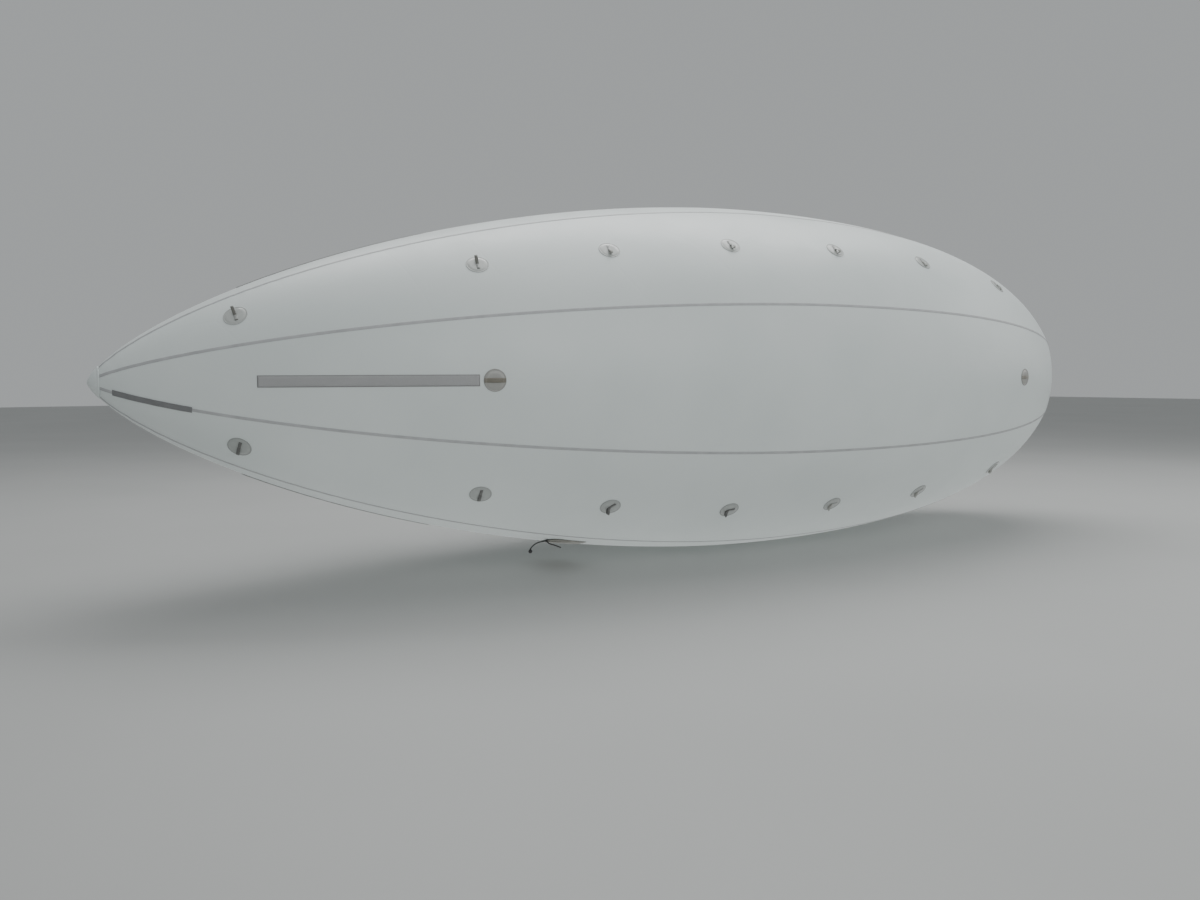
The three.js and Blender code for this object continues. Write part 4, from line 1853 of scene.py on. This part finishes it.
@dataclass
class Tie:
    """The knot round the sleeve's end, its free cord with a ball, and its short tail."""

    cord: Stuff
    ball: Stuff
    diameter: float = 0.008
    cord_sides: int = 16
    cord_cuts: int = 4
    ball_at: Point = (-1.7098, -0.260, -1.0426)
    ball_radius: float = 0.0125
    ball_sides: int = 40
    ball_steps: int = 24
    # The steps from the top at which the ball's round starts and ends, between its neck and its hole
    ball_round: tuple[int, int] = (5, 20)
    neck: tuple[Corner, ...] = (
        (0.0, 0.0120), (0.0041, 0.0121), (0.0043, 0.0136),
        (0.0050, 0.0139), (0.0057, 0.0133),
    )
    hole: tuple[Corner, ...] = ((0.0047, -0.0106), (0.0040, -0.0098), (0.0, -0.0095))
    groove: float = 0.00025
    knot_at: Point = (-1.5973, -0.260, -0.9870)
    knot_scale: float = 0.0031
    knot_strand: float = 0.0038
    knot_sides: int = 10
    knot_steps: int = 90
    # Turns the knot so that its lobes lie over the roots of the two cords
    knot_turn: float = 36
    # The points of the two routes, as station along X and height, in one plane
    plane: float = -0.260
    cord_route: tuple[Corner, ...] = (
        (-1.6089, -0.9873), (-1.6180, -0.9876), (-1.6270, -0.9880), (-1.6360, -0.9887),
        (-1.6450, -0.9898), (-1.6540, -0.9915), (-1.6630, -0.9939), (-1.6720, -0.9971),
        (-1.6805, -1.0012), (-1.6885, -1.0062), (-1.6955, -1.0118), (-1.7010, -1.0172),
        (-1.7050, -1.0215), (-1.7078, -1.0255), (-1.7092, -1.0296),
    )
    tail_route: tuple[Corner, ...] = (
        (-1.5905, -0.9964), (-1.5872, -1.0006), (-1.5828, -1.0039), (-1.5776, -1.0067),
        (-1.5714, -1.0092), (-1.5650, -1.0114), (-1.5580, -1.0138), (-1.5510, -1.0162),
        (-1.5440, -1.0187), (-1.5370, -1.0214), (-1.5300, -1.0242), (-1.5230, -1.0271),
        (-1.5160, -1.0302), (-1.5090, -1.0333), (-1.5020, -1.0366),
    )

    def knot(self) -> BMesh:
        """Makes the knot as one closed strand, led as a trefoil.

        Returns:
            The knot.
        """
        steps = self.knot_steps
        turned = Matrix.Rotation(-math.radians(self.knot_turn), 3, "Y") * self.knot_scale
        line = []
        for k in range(steps + 1):
            t = 2 * math.pi * k / steps
            x = math.sin(t) + 2 * math.sin(2 * t)
            z = math.cos(t) - 2 * math.cos(2 * t)
            line.append(Vector(self.knot_at) + turned @ Vector((x, -math.sin(3 * t), z)))
        wide = []
        for k in range(steps + 1):
            course = (line[(k + 1) % steps] - line[(k - 1) % steps]).normalized()
            out = line[k] - Vector(self.knot_at)
            wide.append((out - out.project(course)).normalized())
        return carried_form(line, wide, round_section(self.knot_strand, self.knot_sides))

    def free_cord(self, route: Sequence[Corner]) -> tuple[BMesh, list[Vector]]:
        """Makes a cord.

        Args:
            route: The route's points, as station and height.

        Returns:
            The cord and the points that its middle follows.
        """
        points = [Vector((x, self.plane, z)) for x, z in route]
        line = smooth_path(points, self.cord_cuts)
        wide = [Vector((0, 1, 0))] * len(line)
        return carried_form(line, wide, round_section(self.diameter / 2, self.cord_sides)), line

    def moulded_ball(self) -> BMesh:
        """Makes the ball, with a short neck round the cord's end, a parting line and a hole below.

        Returns:
            The ball.
        """
        profile = list(self.neck)
        for k in range(*self.ball_round):
            turn = math.pi * k / self.ball_steps
            radius = self.ball_radius - (self.groove if 2 * k == self.ball_steps else 0)
            profile.append((radius * math.sin(turn), radius * math.cos(turn)))
        bm = turned_form([*profile, *self.hole], self.ball_sides)
        bmesh.ops.transform(bm, matrix=Matrix.Translation(self.ball_at), verts=bm.verts)
        return bm

    def build(self) -> None:
        """Builds the ball and the knot, then the two cords."""
        ball = place_piece(self.moulded_ball(), "cord_ball", self.ball, ["tie_ball"])
        place_piece(self.knot(), "sleeve_knot", self.cord, ["tie_knot"])
        for name, node, route, far_end, carried in (
            ("ball_cord", "tie_cord", self.cord_route, "fitting", [ball]),
            ("cord_tail", "tie_tail", self.tail_route, "bare", []),
        ):
            form, line = self.free_cord(route)
            piece = place_piece(form, name, self.cord, [node])
            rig.cord(
                piece,
                exit=line[0],
                length=distances(line)[-1],
                diameter=self.diameter,
                far_end=far_end,
                stiffness="medium",
                lay="hanging",
                path=line,
                with_pieces=carried,
            )


@dataclass(frozen=True)
class Lamp:
    """A soft lamp: where it stands, what it faces, its size and its power in watts."""

    name: str
    at: Point
    faces: Point
    size: Corner
    power: float

    def build(self) -> None:
        """Builds the lamp, out of the camera's sight."""
        data = bpy.data.lights.new(self.name, "AREA")
        data.shape = "RECTANGLE"
        data.size, data.size_y = self.size
        data.energy = self.power
        lamp = bpy.data.objects.new(self.name, data)
        lamp.location = self.at
        lamp.rotation_euler = (Vector(self.faces) - Vector(self.at)).to_track_quat("-Z", "Y").to_euler()
        lamp.visible_camera = False
        bpy.context.scene.collection.objects.link(lamp)


@dataclass
class Studio:
    """The camera at the photograph's viewing angle, a pale floor and soft lights."""

    floor: Stuff
    eye: Point = (-4.2665, -5.6867, 0.0120)
    right: Point = (0.87184, -0.48976, -0.00474)
    up: Point = (0.03979, 0.06118, 0.99733)
    ahead: Point = (0.48816, 0.86971, -0.07283)
    lens: float = 29.78
    sensor: float = 36.0
    sight: float = 200
    floor_height: float = -1.168
    floor_size: float = 45.0
    floor_cells: int = 4
    world: Colour = (0.80, 0.83, 0.84, 1.0)
    world_strength: float = 0.48
    lamps: tuple[Lamp, ...] = (
        Lamp("overhead_lamp", (1.0, 0.5, 8.5), (0, 0, 0), (9.0, 8.0), 350),
        Lamp("crest_lamp", (1.5, 3.0, 7.5), (0.0, 0, 0.5), (12.0, 4.0), 440),
        Lamp("front_lamp", (-1.3, -9.0, 3.3), (-0.4, 0, -0.3), (8.0, 5.0), 190),
        Lamp("nose_lamp", (9.0, -3.0, 3.0), (1.5, 0, 0), (5.0, 5.0), 105),
        Lamp("floor_glow", (-0.4, 0.0, -1.160), (-0.4, 0.0, 0.0), (7.6, 4.4), 11),
        Lamp("belly_glow", (-0.3, -0.2, -1.158), (-0.3, -0.2, 0.0), (6.6, 1.5), 8.5),
    )

    def camera(self) -> None:
        """Sets up the camera."""
        data = bpy.data.cameras.new("camera")
        data.lens = self.lens
        data.sensor_width = self.sensor
        data.sensor_fit = "HORIZONTAL"
        data.clip_end = self.sight
        camera = bpy.data.objects.new("camera", data)
        turn = Matrix((self.right, self.up, [-c for c in self.ahead])).transposed()
        camera.matrix_world = Matrix.Translation(self.eye) @ turn.to_4x4()
        bpy.context.scene.collection.objects.link(camera)
        bpy.context.scene.camera = camera

    def build(self) -> None:
        """Builds the floor and the lights."""
        bm = bmesh.new()
        cells = self.floor_cells
        bmesh.ops.create_grid(bm, x_segments=cells, y_segments=cells, size=self.floor_size)
        bmesh.ops.translate(bm, verts=bm.verts, vec=(0, 0, self.floor_height))
        mesh = bpy.data.meshes.new("pale_floor")
        bm.to_mesh(mesh)
        bm.free()
        mesh.materials.append(self.floor.material)
        floor = bpy.data.objects.new("pale_floor", mesh)
        bpy.context.scene.collection.objects.link(floor)
        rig.stage(floor)
        world = bpy.data.worlds.new("studio")
        world.use_nodes = True
        backdrop = next(n for n in world.node_tree.nodes if n.type == "BACKGROUND")
        backdrop.inputs["Color"].default_value = self.world
        backdrop.inputs["Strength"].default_value = self.world_strength
        bpy.context.scene.world = world
        for lamp in self.lamps:
            lamp.build()


def main() -> None:
    """Builds the balloon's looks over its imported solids."""
    logging.basicConfig(level=logging.INFO, format="%(message)s")
    cad_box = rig.bounds()
    envelope = Envelope()
    film = FilmFinish().make()
    doubled_film = FilmFinish("doubled_film", "film_reinforced", slack=Relief(2.2, 0.0004)).make()
    seam_tape = TapeFinish("seam_tape", grey(0.52, -0.02)).make()
    closing_tape = TapeFinish("closing_tape", grey(0.235, -0.02)).make()
    lower = PatchFinish("lower_patch", rim=0.0555, colour=(0.378, 0.402, 0.388, 1.0))
    # The upper rows' patches are a paler copy of the same fabric with a fainter rim: painted light, for the light that
    # falls on the upper side
    upper = replace(lower, name="lit_upper_patch", colour=(0.485, 0.511, 0.493, 1.0), rim_shade=0.93)
    lit_upper_patch, lower_patch = upper.make(), lower.make()
    strap_patch = PatchFinish("strap_patch", rim=0.0535, colour=(0.352, 0.354, 0.332, 1.0)).make()
    flange_film = PatchFinish("flange_film", rim=0.0785, slot="sleeve").make()
    dark = WebbingFinish(
        "dark_webbing",
        "webbing",
        colour=(0.132, 0.136, 0.126, 1.0),
        selvedge=grey(0.12),
        thread=grey(0.2),
    )
    covered = replace(
        dark,
        name="covered_webbing",
        # Paler than the dark webbing: painted light on the upper loops that use it
        colour=(0.195, 0.197, 0.172, 1.0),
        covered_from=0.006,
        covered_to=0.036,
    )
    # A much paler copy of the same webbing, selvedge too: painted sheen, for the light that catches the upper loops
    # and the lower ones towards the nose
    painted_sheen_copy = replace(covered, name="sheen_painted_webbing", colour=(0.43, 0.44, 0.40, 1.0), selvedge=grey(0.26))
    webbing = {Cloth.DARK: dark.make(), Cloth.COVERED: covered.make(), Cloth.PAINTED_SHEEN: painted_sheen_copy.make()}
    strap_cloth = WebbingFinish(
        "olive_strap",
        "strap",
        colour=(0.235, 0.218, 0.172, 1.0),
        selvedge=(0.280, 0.258, 0.200, 1.0),
        thread=(0.34, 0.325, 0.28, 1.0),
        rim_from=0.024,
        rim_to=0.0275,
        tacks=(0.006, 0.011, 0.101, 0.106),
    ).make()
    seat_tape = SewnTapeFinish(
        "seat_tape",
        "hook_strip",
        colour=grey(0.29),
        thread=grey(0.40),
        rows=(0.0025, 0.059),
    ).make()
    seat_hooks = HookFinish(
        "seat_hooks",
        "hook_strip",
        colour=grey(0.455, -0.01),
        between_hooks=grey(0.345, -0.01),
    ).make()
    cord = BraidFinish().make()
    studio = Studio(FloorFinish().make())
    studio.camera()
    Tie(cord, BallFinish().make()).build()
    studio.build()
    FilmGores(envelope, film).build()
    WeldTapes(envelope, seam_tape, closing_tape).build()
    EndCaps(envelope, doubled_film).build()
    FinSeats(envelope, seat_tape, seat_hooks).build()
    StrapPatches(envelope, strap_patch, strap_cloth).build()
    BannerLoops(envelope, lit_upper_patch, lower_patch, webbing).build()
    FillingSleeve(envelope, SleeveFinish().make(), flange_film).build()
    boxes = {"cad": cad_box, "visual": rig.bounds()}
    with open(SIZE_FILE, "w") as file:
        json.dump({name: [list(corner) for corner in box] for name, box in boxes.items()}, file)


if __name__ == "__main__":
    main()
